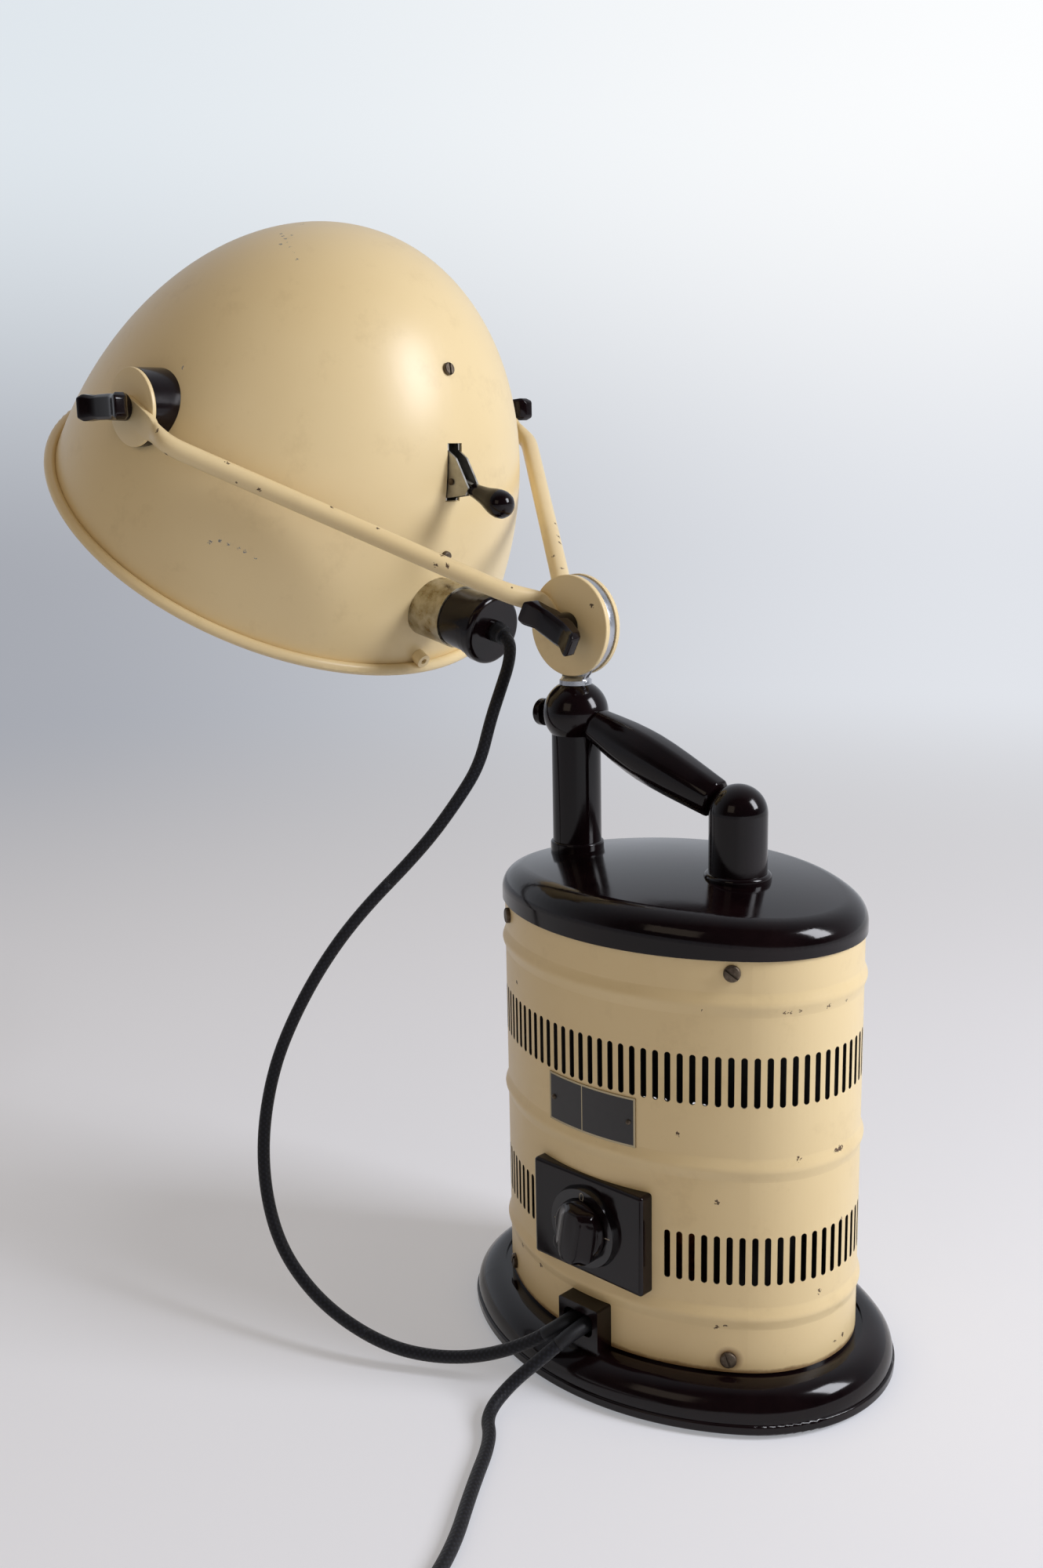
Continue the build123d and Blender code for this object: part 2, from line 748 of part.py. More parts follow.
stem_top = ball_z + sqrt(ball_radius**2 - neck_radius**2) - face_gap
stem_bottom = stem_top - stem_depth
stem_bore = top_axis * Pos(0, 0, stem_bottom - 1) * Cylinder(
    stem_radius + running_gap, stem_depth + 30, align=upright
)
column = (column + collar - crown) + column_spigot - ball_solid - stem_bore
save(column, "column")
seat_top = stem_top - face_gap
ball = ball_solid & (
    top_axis * Pos(0, 0, seat_top - 2 * ball_radius) * Cylinder(2 * ball_radius, 2 * ball_radius, align=upright)
)
screw_z = ball_z - thumb_screw_drop
screw_axis = Plane(origin=(column_x, 0, screw_z), x_dir=(0, 1, 0), z_dir=(-1, 0, 0))
thumb_hole = screw_axis * Cylinder(
    thumb_screw_radius + running_gap, 2 * ball_radius, align=upright
)
ball = ball - stem_bore - thumb_hole
save(ball, "column_ball")
post_dome_z = cover_top + post_height
post_axis = Pos(post_x, 0, 0)
post_foot = cover_top - post_x**2 / (2 * cover_crown_radius)
post = post_axis * Pos(0, 0, post_foot - foot_depth) * Cylinder(
    post_radius, post_dome_z - post_foot + foot_depth, align=upright
)
post += post_axis * Pos(0, 0, post_dome_z) * Sphere(post_radius)
post_ring = post_axis * Pos(0, 0, post_foot - foot_depth) * Cylinder(
    post_collar_radius, post_collar_height + foot_depth, align=upright
)
post_ring = fillet(post_ring.edges().group_by(Axis.Z)[-1], (post_collar_radius - post_radius) * 0.9)
post_spigot = post_axis * Pos(0, 0, post_foot - column_spigot_length) * Cylinder(
    column_spigot_radius, column_spigot_length + post_collar_height, align=upright
)
post = (post + post_ring - crown) + post_spigot
save(post, "rear_post")
cover -= column_spigot
cover -= post_spigot
save(cover, "top_cover")

grip_start = Vector(column_x, 0, ball_z)
grip_run = Vector(post_x, 0, post_dome_z) - grip_start
grip_axis = Plane(origin=grip_start, x_dir=(0, 1, 0), z_dir=grip_run)
grip_length = grip_run.length


def grip_section(share, width):
    """Octagon across the grip, at a share of its length, flat side up."""
    octagon = RegularPolygon(width / 2, grip_sides, major_radius=False, rotation=180 / grip_sides)
    return grip_axis * (Pos(0, 0, share * grip_length) * octagon)


grip = loft([grip_section(0, grip_ball_width), grip_section(grip_middle_share, grip_middle_width)], ruled=True)
grip += loft([grip_section(grip_middle_share, grip_middle_width), grip_section(1, grip_post_width)], ruled=True)
grip = grip - ball_solid - post - column
save(grip, "grip")

# Thumb screw that clamps the swivel
knob_end = ball_radius + thumb_knob_gap
thumb = screw_axis * Pos(0, 0, knob_end) * Cylinder(thumb_knob_radius, thumb_knob_thickness, align=upright)
thumb = fillet(thumb.edges().filter_by(GeomType.CIRCLE), 1.0)
thumb += screw_axis * Pos(0, 0, stem_radius + 2 * running_gap) * Cylinder(
    thumb_screw_radius, knob_end - stem_radius, align=upright
)
save(thumb, "thumb_screw")

# Swivel stem: a pin down the column, a neck and the flat knuckle of the elbow
stem = top_axis * Pos(0, 0, stem_bottom) * Cylinder(stem_radius, stem_depth + 1, align=upright)
stem += top_axis * Pos(0, 0, stem_top) * Cylinder(neck_radius, neck_height, align=upright)
stem += Pos(column_x, 0, (stem_top + elbow_z) / 2) * Box(
    2 * neck_radius, knuckle_thickness, elbow_z - stem_top - 1
)


def across(radius, x, z, y_from, y_to):
    """Cylinder along Y between two values of y."""
    middle = Pos(x, (y_from + y_to) / 2, z)
    return middle * Rot(90, 0, 0) * Cylinder(radius, abs(y_to - y_from))


stem += across(knuckle_radius, column_x, elbow_z, -knuckle_thickness / 2, knuckle_thickness / 2)
stem -= across(elbow_bolt_radius + running_gap, column_x, elbow_z, -knuckle_radius, knuckle_radius)
save(stem, "swivel_stem")


def both_sides(shape, names):
    """Save a piece made for the +Y side and its mirror image for the -Y side."""
    save(shape, names[0])
    save(mirror(shape, about=Plane.XZ), names[1])


# Fork: two enamelled discs on the knuckle, two bent rods and the bolt through the elbow
disc = across(elbow_disc_radius, column_x, elbow_z, knuckle_thickness / 2 + face_gap, disc_face)
disc = fillet(disc.edges().filter_by(GeomType.CIRCLE).group_by(Axis.Y)[-1], 0.8)
disc -= across(elbow_bolt_radius, column_x, elbow_z, 0, 2 * disc_face)
both_sides(disc, ("rear_elbow_disc", "front_elbow_disc"))

strip_middle = pivot_disc_face + strip_thickness / 2
rod_start = strip_length + strip_taper
rod_line = FilletPolyline(
    (rod_start, strip_middle, 0),
    (arm_pivot_bend, strip_middle, 0),
    (arm_length - arm_elbow_bend, arm_elbow_offset, 0),
    (arm_length - arm_end, arm_end_offset, 0),
    radius=[arm_bend_radius * 0.5, arm_bend_radius],
)
rod = sweep(Plane(origin=rod_line @ 0, z_dir=rod_line % 0) * Circle(arm_radius), path=rod_line)
flat = Plane(origin=(strip_length, strip_middle, 0), x_dir=(0, 1, 0), z_dir=(1, 0, 0))
round_end = Plane(origin=(rod_start, strip_middle, 0), x_dir=(0, 1, 0), z_dir=(1, 0, 0))
taper = loft(
    [flat * RectangleRounded(strip_thickness, strip_width, strip_thickness * 0.4), round_end * Circle(arm_radius)]
)
strip = Pos(strip_length / 2, strip_middle, 0) * Box(strip_length, strip_thickness, strip_width)
strip += across(strip_width / 2, 0, 0, pivot_disc_face, strip_face)
foot = Pos(arm_length - (foot_inner + foot_outer) / 2, disc_face + foot_thickness / 2, 0) * Box(
    foot_outer - foot_inner, foot_thickness, foot_width
)
foot = fillet(foot.edges().filter_by(Axis.Y).group_by(Axis.X)[-1], 4)
under_foot = Pos(arm_length, disc_face - foot_width, 0) * Box(4 * foot_outer, 2 * foot_width, 4 * foot_width)
pivot_disc = across(pivot_disc_radius, 0, 0, spacer_reach + face_gap, pivot_disc_face)
arm = fork_plane * (rod + taper + strip + pivot_disc + foot - under_foot)
arm -= across(pivot_bolt_radius + running_gap, pivot.X, pivot.Z, spacer_reach, 2 * strip_face)
both_sides(arm, ("rear_fork_arm", "front_fork_arm"))

nut_depth = face_gap + nut_boss_height + 1
elbow_bolt = across(elbow_bolt_radius, column_x, elbow_z, -disc_face - nut_depth, disc_face)
bolt_head = across(bolt_head_radius, column_x, elbow_z, disc_face, disc_face + bolt_head_height)
bolt_head = fillet(bolt_head.edges().filter_by(GeomType.CIRCLE).group_by(Axis.Y)[-1], 1.6)
save(elbow_bolt + bolt_head, "elbow_bolt")

elbow_nut_seat = Plane(
    origin=(column_x, -disc_face - face_gap, elbow_z), x_dir=(1, 0, 0), z_dir=(0, -1, 0)
)
nut = wing_nut(elbow_bolt_radius + running_gap)
save(elbow_nut_seat * (Rot(0, 0, elbow_nut_turn) * nut), "elbow_wing_nut")
pivot_nut_y = strip_face + face_gap
rear_nut_seat = Plane(origin=(pivot.X, pivot_nut_y, pivot.Z), x_dir=(1, 0, 0), z_dir=(0, 1, 0))
both_sides(
    rear_nut_seat * (Rot(0, 0, pivot_nut_turn) * nut), ("rear_pivot_wing_nut", "front_pivot_wing_nut")
)

# Shade: spun dome with a rolled rim, and the bakelite drums that hold its pivot bolts
shade_top = shade_ellipse_height - shade_ellipse_drop
shade_body = dome(shade_radius, shade_ellipse_height, 0, shade_top)
shade_hollow = dome(shade_radius - shade_wall, shade_ellipse_height - shade_wall, -1, shade_top)
shade = shade_body - shade_hollow
pivot_bore = across(pivot_bolt_radius, 0, pivot_above_rim, -shade_radius, shade_radius)
shade -= pivot_bore
drum = across(pivot_disc_radius, 0, pivot_above_rim, shade_radius * 0.75, spacer_reach)
drum = drum - shade_body - pivot_bore
both_sides(head_plane * drum, ("rear_pivot_drum", "front_pivot_drum"))
bolt = across(pivot_bolt_radius, 0, pivot_above_rim, shade_radius * 0.84, strip_face + nut_depth)
inner_head = across(bolt_head_radius, 0, pivot_above_rim, shade_radius * 0.82, shade_radius) & shade_hollow
rear_bolt = head_plane * (bolt + inner_head)
save(Compound([rear_bolt, mirror(rear_bolt, about=Plane.XZ)]), "pivot_bolts")

rim = Pos(0, 0, rim_tube_height) * Torus(rim_tube_centre, rim_tube_radius)
rim -= shade_body
rim_lip = Pos(0, 0, -rim_lip_thickness / 2) * (
    Cylinder(rim_tube_centre - rim_tube_radius * 0.6, rim_lip_thickness)
    - Cylinder(rim_lip_inner, 2 * rim_lip_thickness)
)
rim += rim_lip
save(head_plane * rim, "shade_rim")

# Handle boss on the rim
boss_plane = shade_plane(boss_height)
boss = boss_plane * Pos(0, 0, -2) * Cylinder(boss_radius, boss_length + 2, align=upright)
boss -= shade_body
boss -= rim
boss -= boss_plane * Pos(0, 0, 1.2) * Cylinder(boss_hole_radius, boss_length, align=upright)
save(head_plane * boss, "rim_boss")

# Bracket inside the shade: a strap along the skin with two side plates that reach out of the
# lever slot and in to the cradle's pin
slot_middle = (lever_slot_low + lever_slot_high) / 2
slot_tall = lever_slot_high - lever_slot_low
lever_window = Pos(shade_radius * 0.8, 0, slot_middle) * Box(60, lever_slot_width, slot_tall)
strap_window = Pos(shade_radius * 0.8, 0, (strap_low + strap_high) / 2) * Box(
    shade_radius, strap_width, strap_high - strap_low
)
strap_inside = dome(
    shade_radius - shade_wall - strap_thickness,
    shade_ellipse_height - shade_wall - strap_thickness,
    -1,
    shade_top,
)
strap = (shade_hollow & strap_window) - strap_inside - lever_window
bar_low = lever_pin_height - bracket_bar_height / 2
bar_high = lever_pin_height + bracket_bar_height / 2
skin_out = skin_radius(lever_pin_height, shade_radius, shade_ellipse_height)
lever_pin_out = skin_out + lever_pin_proud
cheek_tip_out = skin_out + cheek_tip_proud
plate_inner = Polyline(
    (0, bar_low),
    (skin_out - 2 * bracket_shoulder_inset, bar_low),
    (skin_out - bracket_shoulder_inset, bracket_shoulder_low),
    (shade_radius, bracket_shoulder_low),
    (shade_radius, bracket_shoulder_high),
    (skin_out - 2 * bracket_shoulder_inset, bracket_shoulder_high),
    (skin_out - 2.2 * bracket_shoulder_inset, bar_high),
    (0, bar_high),
    close=True,
)
plate_outer = Polyline(
    (skin_out - bracket_shoulder_inset, lever_slot_low + 1),
    (skin_out + 4, lever_slot_low + 1),
    (cheek_tip_out - 1, cheek_tip_height - 2.4),
    (cheek_tip_out - 1, cheek_tip_height + 2.4),
    (skin_out - 1, lever_slot_high - 4),
    (skin_out - bracket_shoulder_inset, lever_slot_high - 4),
    close=True,
)
cheek_middle = cheek_gap + cheek_thickness / 2


def side_plate(outline, y, thickness):
    """Flat plate in the plane of the lever, centred on a value of y."""
    return Pos(0, y, 0) * extrude(Plane.XZ * make_face(outline), amount=thickness / 2, both=True)


bracket = strap
for y in (cheek_middle, -cheek_middle):
    inner = side_plate(plate_inner, y, cheek_thickness) & shade_hollow
    inner += across(bracket_bar_height / 2, 0, lever_pin_height, y - cheek_thickness / 2, y + cheek_thickness / 2)
    bracket += inner
    bracket += side_plate(plate_outer, y, cheek_thickness)
pin_reach = cheek_gap + cheek_thickness
lever_pin = across(lever_pin_radius, lever_pin_out, lever_pin_height, -pin_reach - 1, pin_reach + 1)
cradle_pin = across(lever_pin_radius, 0, lever_pin_height, -pin_reach - 1, pin_reach + 1)
bracket = bracket - lever_pin - cradle_pin

shade_screws = []
for height, turn in ((lower_screw_height, lower_screw_turn), (upper_screw_height, upper_screw_turn)):
    place = Rot(0, 0, turn) * shade_plane(height)
    hole = place * Cylinder(screw_shank_radius, 4 * screw_shank_radius)
    shade -= hole
    bracket -= hole
    shade_screws.append(place * screw(shade_screw_head_radius, screw_shank_length, height))
save(head_plane * Compound(shade_screws), "shade_screws")
save(head_plane * bracket, "lever_bracket")
save(head_plane * Compound([lever_pin, cradle_pin]), "bracket_pins")
shade -= lever_window

# Lever: hub, inner bar with a peg, and a teardrop knob outside
lever = across(lever_hub_radius, 0, 0, -lever_thickness / 2, lever_thickness / 2)
lever += Pos(-lever_inner / 2, 0, 0) * Box(lever_inner, lever_thickness, lever_bar_width)
lever += across(lever_bar_width / 2, -lever_inner, 0, -lever_thickness / 2, lever_thickness / 2)
lever += across(
    lever_peg_radius, -lever_inner, 0, 0, fork_plate_gap + fork_plate_thickness
)
neck = Pos((lever_knob_start + 4) / 2, 0, 0) * Box(lever_knob_start + 4, lever_thickness, lever_bar_width)
lever += Rot(0, -lever_angle, 0) * neck
lever -= across(lever_pin_radius + running_gap, 0, 0, -lever_thickness, lever_thickness)
lever_place = Pos(lever_pin_out, 0, lever_pin_height)
save(head_plane * (lever_place * lever), "burner_lever")
knob_middle = lever_knob_start + lever_knob_length * 0.62
knob_end_x = lever_knob_start + lever_knob_length
knob_profile = make_face(
    [
        Line((lever_knob_start, 0), (lever_knob_start, lever_knob_neck)),
        Spline(
            (lever_knob_start, lever_knob_neck),
            (lever_knob_start + lever_knob_length * 0.25, lever_knob_neck * 1.35),
            (knob_middle, lever_knob_radius),
            (knob_end_x, 0),
            tangents=((1, 0), (0, -1)),
        ),
        Line((knob_end_x, 0), (lever_knob_start, 0)),
    ]
)
teardrop = revolve(Plane.XZ * knob_profile, axis=Axis.X)
teardrop -= neck
save(head_plane * (lever_place * (Rot(0, -lever_angle, 0) * teardrop)), "lever_knob")

# Cradle that rocks the burner: hub, tail with an open fork, hanger, saddle and two clips
half_hub = cradle_hub_length / 2
cradle = across(cradle_hub_radius, 0, 0, -half_hub, half_hub)
tail_reach = lever_pin_out - lever_inner + fork_length / 2
fork_y = fork_plate_gap + fork_plate_thickness / 2
tail = Pos(tail_reach / 2, fork_y, 0) * Box(tail_reach, fork_plate_thickness, fork_width)
tail -= Pos(tail_reach, fork_y, 0) * Box(2 * fork_length, 2 * fork_plate_thickness, fork_slot)
tail = tail & Pos(tail_reach / 2, 0, 0) * Box(tail_reach, 4 * fork_y, fork_width)
cradle += tail
saddle_top = -cradle_drop + burner_radius + cradle_bar / 2 + 1
hanger = Pos(0, 0, saddle_top / 2) * Box(cradle_bar, cradle_bar, -saddle_top)
saddle = Pos(0, 0, saddle_top - 1.5) * Box(cradle_saddle_length, cradle_bar, 3)
cradle += hanger + saddle
for side in (1, -1):
    clip = Pos(side * cradle_clip_place, 0, -cradle_drop) * Rot(0, 90, 0) * Cylinder(
        cradle_clip_radius, cradle_clip_width
    )
    web = Pos(side * cradle_clip_place, 0, -cradle_drop / 2 - burner_radius - 15) * Box(
        cradle_clip_width, cradle_bar, 22
    )
    cradle += clip
burner_space = Pos(0, 0, -cradle_drop) * Rot(0, 90, 0) * Cylinder(burner_radius, 2 * burner_length)
cradle = cradle - burner_space
cradle -= across(lever_pin_radius + running_gap, 0, 0, -half_hub - 1, half_hub + 1)
cradle_place = Pos(0, 0, lever_pin_height)
save(head_plane * (cradle_place * cradle), "burner_cradle")
burner_axis = cradle_place * Pos(0, 0, -cradle_drop) * Rot(0, 90, 0)
tube = Cylinder(burner_radius, burner_length) - Cylinder(burner_radius - burner_wall, burner_length - 4)
save(head_plane * (burner_axis * tube), "burner_tube")
caps = []
for side in (1, -1):
    cap_place = Pos(0, 0, side * (burner_length / 2 + burner_cap_length / 2))
    caps.append(cap_place * Cylinder(burner_cap_radius, burner_cap_length))
save(head_plane * (burner_axis * Compound(caps)), "burner_caps")

# Reflector bowl, and the two heater rods that hang from it
bowl = Ellipse(reflector_radius, reflector_depth) & Rectangle(
    reflector_radius, reflector_depth, align=(Align.MIN, Align.MIN)
)
bowl_inner = Ellipse(reflector_radius - reflector_wall, reflector_depth - reflector_wall) & Rectangle(
    reflector_radius, reflector_depth, align=(Align.MIN, Align.MIN)
)
reflector = revolve(Plane.XZ * (bowl - bowl_inner), axis=Axis.Z)
reflector -= Pos(0, 0, reflector_depth) * Box(
    reflector_hole_length, reflector_hole_width, reflector_depth / 2
)
save_heaters = []
for side in (1, -1):
    rod = Pos(0, side * heater_offset, heater_height) * Rot(0, 90, 0) * Cylinder(heater_radius, heater_length)
    for end in (1, -1):
        leg = Pos(end * heater_post_place, side * heater_offset, heater_height) * Cylinder(
            heater_post_radius, heater_post_top - heater_height, align=upright
        )
        reflector -= leg
        rod += leg
    save_heaters.append(head_plane * rod)
save(head_plane * reflector, "reflector")
save(save_heaters[0], "rear_heater_rod")
save(save_heaters[1], "front_heater_rod")

# Appliance socket on the shade and the plug that sits on it
socket_r = skin_radius(socket_height, shade_radius, shade_ellipse_height)
socket_way = radians(socket_tilt)
socket_plane = Plane(
    origin=(socket_r, 0, socket_height), x_dir=(0, 1, 0), z_dir=(cos(socket_way), 0, sin(socket_way))
)
insert = socket_plane * Pos(0, 0, -insert_inner) * Cylinder(
    socket_radius - socket_wall, insert_inner + insert_outer, align=upright
)
shade -= insert
collar_ring = socket_plane * Pos(0, 0, -10) * (
    Cylinder(socket_radius, socket_length + 10, align=upright)
    - Cylinder(socket_radius - socket_wall, socket_length + 20, align=upright)
)
collar_ring -= shade_body
save(head_plane * shade, "shade")
save(head_plane * collar_ring, "socket_ring")
plug_start = socket_length + face_gap
plug = Pos(0, 0, plug_start) * Cylinder(plug_body_radius, plug_body_length, align=upright)
plug += Pos(0, 0, plug_start + plug_body_length) * Cylinder(plug_ring_radius, plug_ring_length, align=upright)
head_low = plug_start + plug_body_length + plug_ring_length
plug_head = Pos(0, 0, head_low) * Cylinder(plug_head_radius, plug_head_length, align=upright)
plug_head = fillet(plug_head.edges().group_by(Axis.Z)[-1], plug_head_round)
plug_end = head_low + plug_head_length + plug_collar_length
plug += plug_head
plug += Pos(0, 0, head_low) * Cylinder(plug_collar_radius, plug_end - head_low, align=upright)
save(head_plane * insert, "socket_insert")
save(head_plane * (socket_plane * plug), "head_plug")

# Head cord, in three stretches that meet face to face
plug_exit = head_plane.from_local_coords(socket_plane.from_local_coords(Vector(0, 0, plug_end)))
plug_clear = head_plane.from_local_coords(
    socket_plane.from_local_coords(Vector(0, 0, plug_end + plug_clearance))
)
cord_x = front_x - cord_spacing / 2
head_cord = [
    (plug_exit.X, 0, plug_exit.Z),
    (plug_clear.X, 0, plug_clear.Z),
    (-116, -5, 384),
    (-114, -15, 367),
    (-112.5, -25, 351),
    (-116, -38, 326.6),
    (-122, -50, 307),
    (-134, -68, 279.6),
    (-164, -95, 238.6),
    (-176, -118, 206),
    (-187, -135, 168.8),
    (-188, -147, 141),
    (-184, -157, 111),
    (-175, -163, 82),
    (-161, -165, 56),
    (-140, -163, 37),
    (-115, -158, 23.7),
    (-88, -148, 14),
    (-65.5, -135, 10.9),
    (-42, -122, 14.7),
    (-19, -110, 26),
    (cord_x, gland_front - 18, inlet_z),
    (cord_x, gland_front, inlet_z),
]
upper_break = 8
lower_break = 17


def between(a, b):
    """Point halfway between two others."""
    return tuple((u + v) / 2 for u, v in zip(a, b))


upper_cut = between(head_cord[upper_break - 1], head_cord[upper_break])
lower_cut = between(head_cord[lower_break - 1], head_cord[lower_break])
save(cord_tube(head_cord[:upper_break] + [upper_cut], "upper cord"), "head_cord_upper")
middle_points = [upper_cut] + head_cord[upper_break:lower_break] + [lower_cut]
save(cord_tube(middle_points, "middle cord"), "head_cord_middle")
save(cord_tube([lower_cut] + head_cord[lower_break:], "lower cord"), "head_cord_lower")

# Mains cord along the floor to a small coil, and the plug on its end
coil_outer = coil_inner_radius + coil_turns * coil_pitch
coil_out = (cos(radians(coil_start_angle)), sin(radians(coil_start_angle)))
run_way = (-coil_out[1], coil_out[0])
touch = (coil_centre[0] + coil_outer * coil_out[0], coil_centre[1] + coil_outer * coil_out[1])
run_start = (touch[0] - coil_run * run_way[0], touch[1] - coil_run * run_way[1], cord_rest)
run_cut = (touch[0] - coil_run / 2 * run_way[0], touch[1] - coil_run / 2 * run_way[1], cord_rest)
mains_x = front_x + cord_spacing / 2
mains_cord = [
    (mains_x, gland_front, inlet_z),
    (mains_x, gland_front - 17, inlet_z),
    (-3, -113, 26),
    (-14, -127, 12),
    (-13, -146, cord_rest),
    (4, -159, cord_rest),
    (24.5, -193, cord_rest),
    run_start,
    run_cut,
]
save(cord_tube(mains_cord, "mains cord"), "mains_cord")


def half_turn(centre, radius, angle, sweep_angle, z):
    """Level arc about a centre, anticlockwise from an angle."""
    points = []
    for share in (0, 0.5, 1):
        a = radians(angle + share * sweep_angle)
        points.append((centre[0] + radius * cos(a), centre[1] + radius * sin(a), z))
    return ThreePointArc(*points)


def smooth_pair(p0, t0, p1, t1):
    """Two tangent arcs from p0 to p1 that leave along t0 and arrive along t1."""
    v = p1 - p0
    a = 2 * (1 - t0.dot(t1))
    b = 2 * v.dot(t0 + t1)
    c = -v.dot(v)
    d = -c / b if abs(a) < 1e-9 else (-b + sqrt(b * b - 4 * a * c)) / (2 * a)
    joint = (p0 + t0 * d + p1 - t1 * d) * 0.5
    first = TangentArc(p0, joint, tangent=t0)
    return [first, TangentArc(joint, p1, tangent=first % 1)]


def climbing_turn(centre, radius, angle, z):
    """Half turn that rises by one layer, level at both ends."""
    points = []
    ways = []
    for share in (0, 0.5, 1):
        a = radians(angle + 180 * share)
        points.append(Vector(centre[0] + radius * cos(a), centre[1] + radius * sin(a), z + share * coil_lift))
        slope = 2 * coil_lift / (pi * radius) if share == 0.5 else 0
        ways.append(Vector(-sin(a), cos(a), slope).normalized())
    return smooth_pair(points[0], ways[0], points[1], ways[1]) + smooth_pair(
        points[1], ways[1], points[2], ways[2]
    )


edges = [Line(run_cut, (touch[0], touch[1], cord_rest))]
near = Vector(*coil_centre, 0)
step = Vector(-coil_out[0], -coil_out[1], 0) * (coil_pitch / 2)
start_angle = coil_start_angle
radius = coil_outer
level = cord_rest
turn_sizes = [coil_outer - coil_pitch / 2 * k for k in range(2 * coil_turns)]
layers = [turn_sizes, turn_sizes[:0:-1] + [coil_outer]]
for layer_number, sizes in enumerate(layers):
    inward = layer_number % 2 == 0
    for size in sizes:
        on_near = abs(start_angle % 360 - coil_start_angle) < 1
        shift = Vector(0, 0, 0) if on_near else (step if inward else step * -1)
        last = layer_number == len(layers) - 1 and size == coil_outer
        sweep_angle = 90 if last else 180
        place = near + shift
        edges.append(half_turn((place.X, place.Y), size, start_angle, sweep_angle, level))
        start_angle += sweep_angle
    if layer_number < len(layers) - 1:
        climb_radius = coil_inner_radius if inward else coil_outer
        edges += climbing_turn((near.X, near.Y), climb_radius, start_angle, level)
        start_angle += 180
        level += coil_lift
leave_at = edges[-1] @ 1
leave_way = (edges[-1] % 1).normalized()
straight_end = leave_at + leave_way * coil_leave
drop_end = straight_end + leave_way * coil_drop_run
plug_axis_z = mains_plug_radius + 0.05
drop_end = Vector(drop_end.X, drop_end.Y, plug_axis_z)
middle = (straight_end + drop_end) * 0.5
fall = 2 * (straight_end.Z - drop_end.Z) / coil_drop_run
steep = Vector(leave_way.X, leave_way.Y, -fall).normalized()
edges.append(Line(leave_at, straight_end))
edges += smooth_pair(straight_end, leave_way, middle, steep)
edges += smooth_pair(middle, steep, drop_end, leave_way)
plug_front = drop_end + leave_way * (2 * cord_radius)
edges.append(Line(drop_end, plug_front))
coil_path = Wire(edges)
coil_tube = sweep(Plane(origin=edges[0] @ 0, z_dir=edges[0] % 0) * Circle(cord_radius), path=coil_path)
expected_volume = pi * cord_radius**2 * coil_path.length
print("coil length", round(coil_path.length, 1), "volume share", round(coil_tube.volume / expected_volume, 4))
samples = [coil_path @ (i / 2400) for i in range(2401)]
apart = int(2400 * 4 * cord_radius / coil_path.length) + 1
least = 1000.0
for i in range(0, len(samples), 3):
    for j in range(i + apart, len(samples)):
        least = min(least, (samples[i] - samples[j]).length)
print("coil least gap to itself", round(least - 2 * cord_radius, 3))
save(coil_tube, "mains_cord_coil")

plug_place = Plane(origin=plug_front, x_dir=(0, 0, 1), z_dir=leave_way)
mains_plug = Cylinder(mains_plug_radius, mains_plug_length * 0.45, align=upright)
mains_plug = fillet(mains_plug.edges().group_by(Axis.Z)[-1], 1.5)
mains_plug = Pos(0, 0, mains_plug_length * 0.55) * mains_plug
mains_plug += Cone(mains_plug_waist, mains_plug_radius - 1, mains_plug_length * 0.55, align=upright)
mains_pins = []
for side in (1, -1):
    pin = Pos(0, side * mains_pin_spread / 2, mains_plug_length - 6) * Cylinder(
        mains_pin_radius, mains_pin_length + 6, align=upright
    )
    pin = fillet(pin.edges().group_by(Axis.Z)[-1], mains_pin_radius * 0.8)
    mains_pins.append(pin)
    mains_plug -= pin
save(plug_place * mains_plug, "mains_plug")
save(plug_place * Compound(mains_pins), "mains_plug_pins")
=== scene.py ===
import bpy
import bmesh
from math import cos, pi, radians, sin
from mathutils import Matrix, Vector


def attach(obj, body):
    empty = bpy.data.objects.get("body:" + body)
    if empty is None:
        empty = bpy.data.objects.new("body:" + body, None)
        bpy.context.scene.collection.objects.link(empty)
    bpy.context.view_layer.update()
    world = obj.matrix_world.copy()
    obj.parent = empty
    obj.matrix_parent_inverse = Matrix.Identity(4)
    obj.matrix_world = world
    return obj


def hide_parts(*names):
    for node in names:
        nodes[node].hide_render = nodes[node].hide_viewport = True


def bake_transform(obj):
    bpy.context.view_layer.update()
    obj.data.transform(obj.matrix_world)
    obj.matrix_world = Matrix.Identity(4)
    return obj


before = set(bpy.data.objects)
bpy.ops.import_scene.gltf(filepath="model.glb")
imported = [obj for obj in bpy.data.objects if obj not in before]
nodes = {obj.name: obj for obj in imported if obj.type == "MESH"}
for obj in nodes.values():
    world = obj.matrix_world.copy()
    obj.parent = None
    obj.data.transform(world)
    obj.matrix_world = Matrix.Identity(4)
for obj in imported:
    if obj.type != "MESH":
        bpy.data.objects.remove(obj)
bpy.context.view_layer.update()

# The view: a camera to the right of the lamp's front, level with the shade and looking a little
# down. It stands where the photograph was taken from.
camera_place = Vector((0.52697, -0.66720, 0.50382))
camera_heading = 0.76947
camera_pitch = 0.20755
camera_roll = -0.01889
camera_data = bpy.data.cameras.new("view_camera")
sensor_side = 36
focal_share = 2009.84 / 2000
camera_data.sensor_width = sensor_side
camera_data.lens = sensor_side * focal_share
camera = bpy.data.objects.new("view_camera", camera_data)
camera.matrix_world = (
    Matrix.Translation(camera_place)
    @ Matrix.Rotation(camera_heading, 4, "Z")
    @ Matrix.Rotation(pi / 2 - camera_pitch, 4, "X")
    @ Matrix.Rotation(camera_roll, 4, "Z")
)
bpy.context.scene.collection.objects.link(camera)
bpy.context.scene.camera = camera
bpy.context.scene.view_settings.view_transform = "Standard"


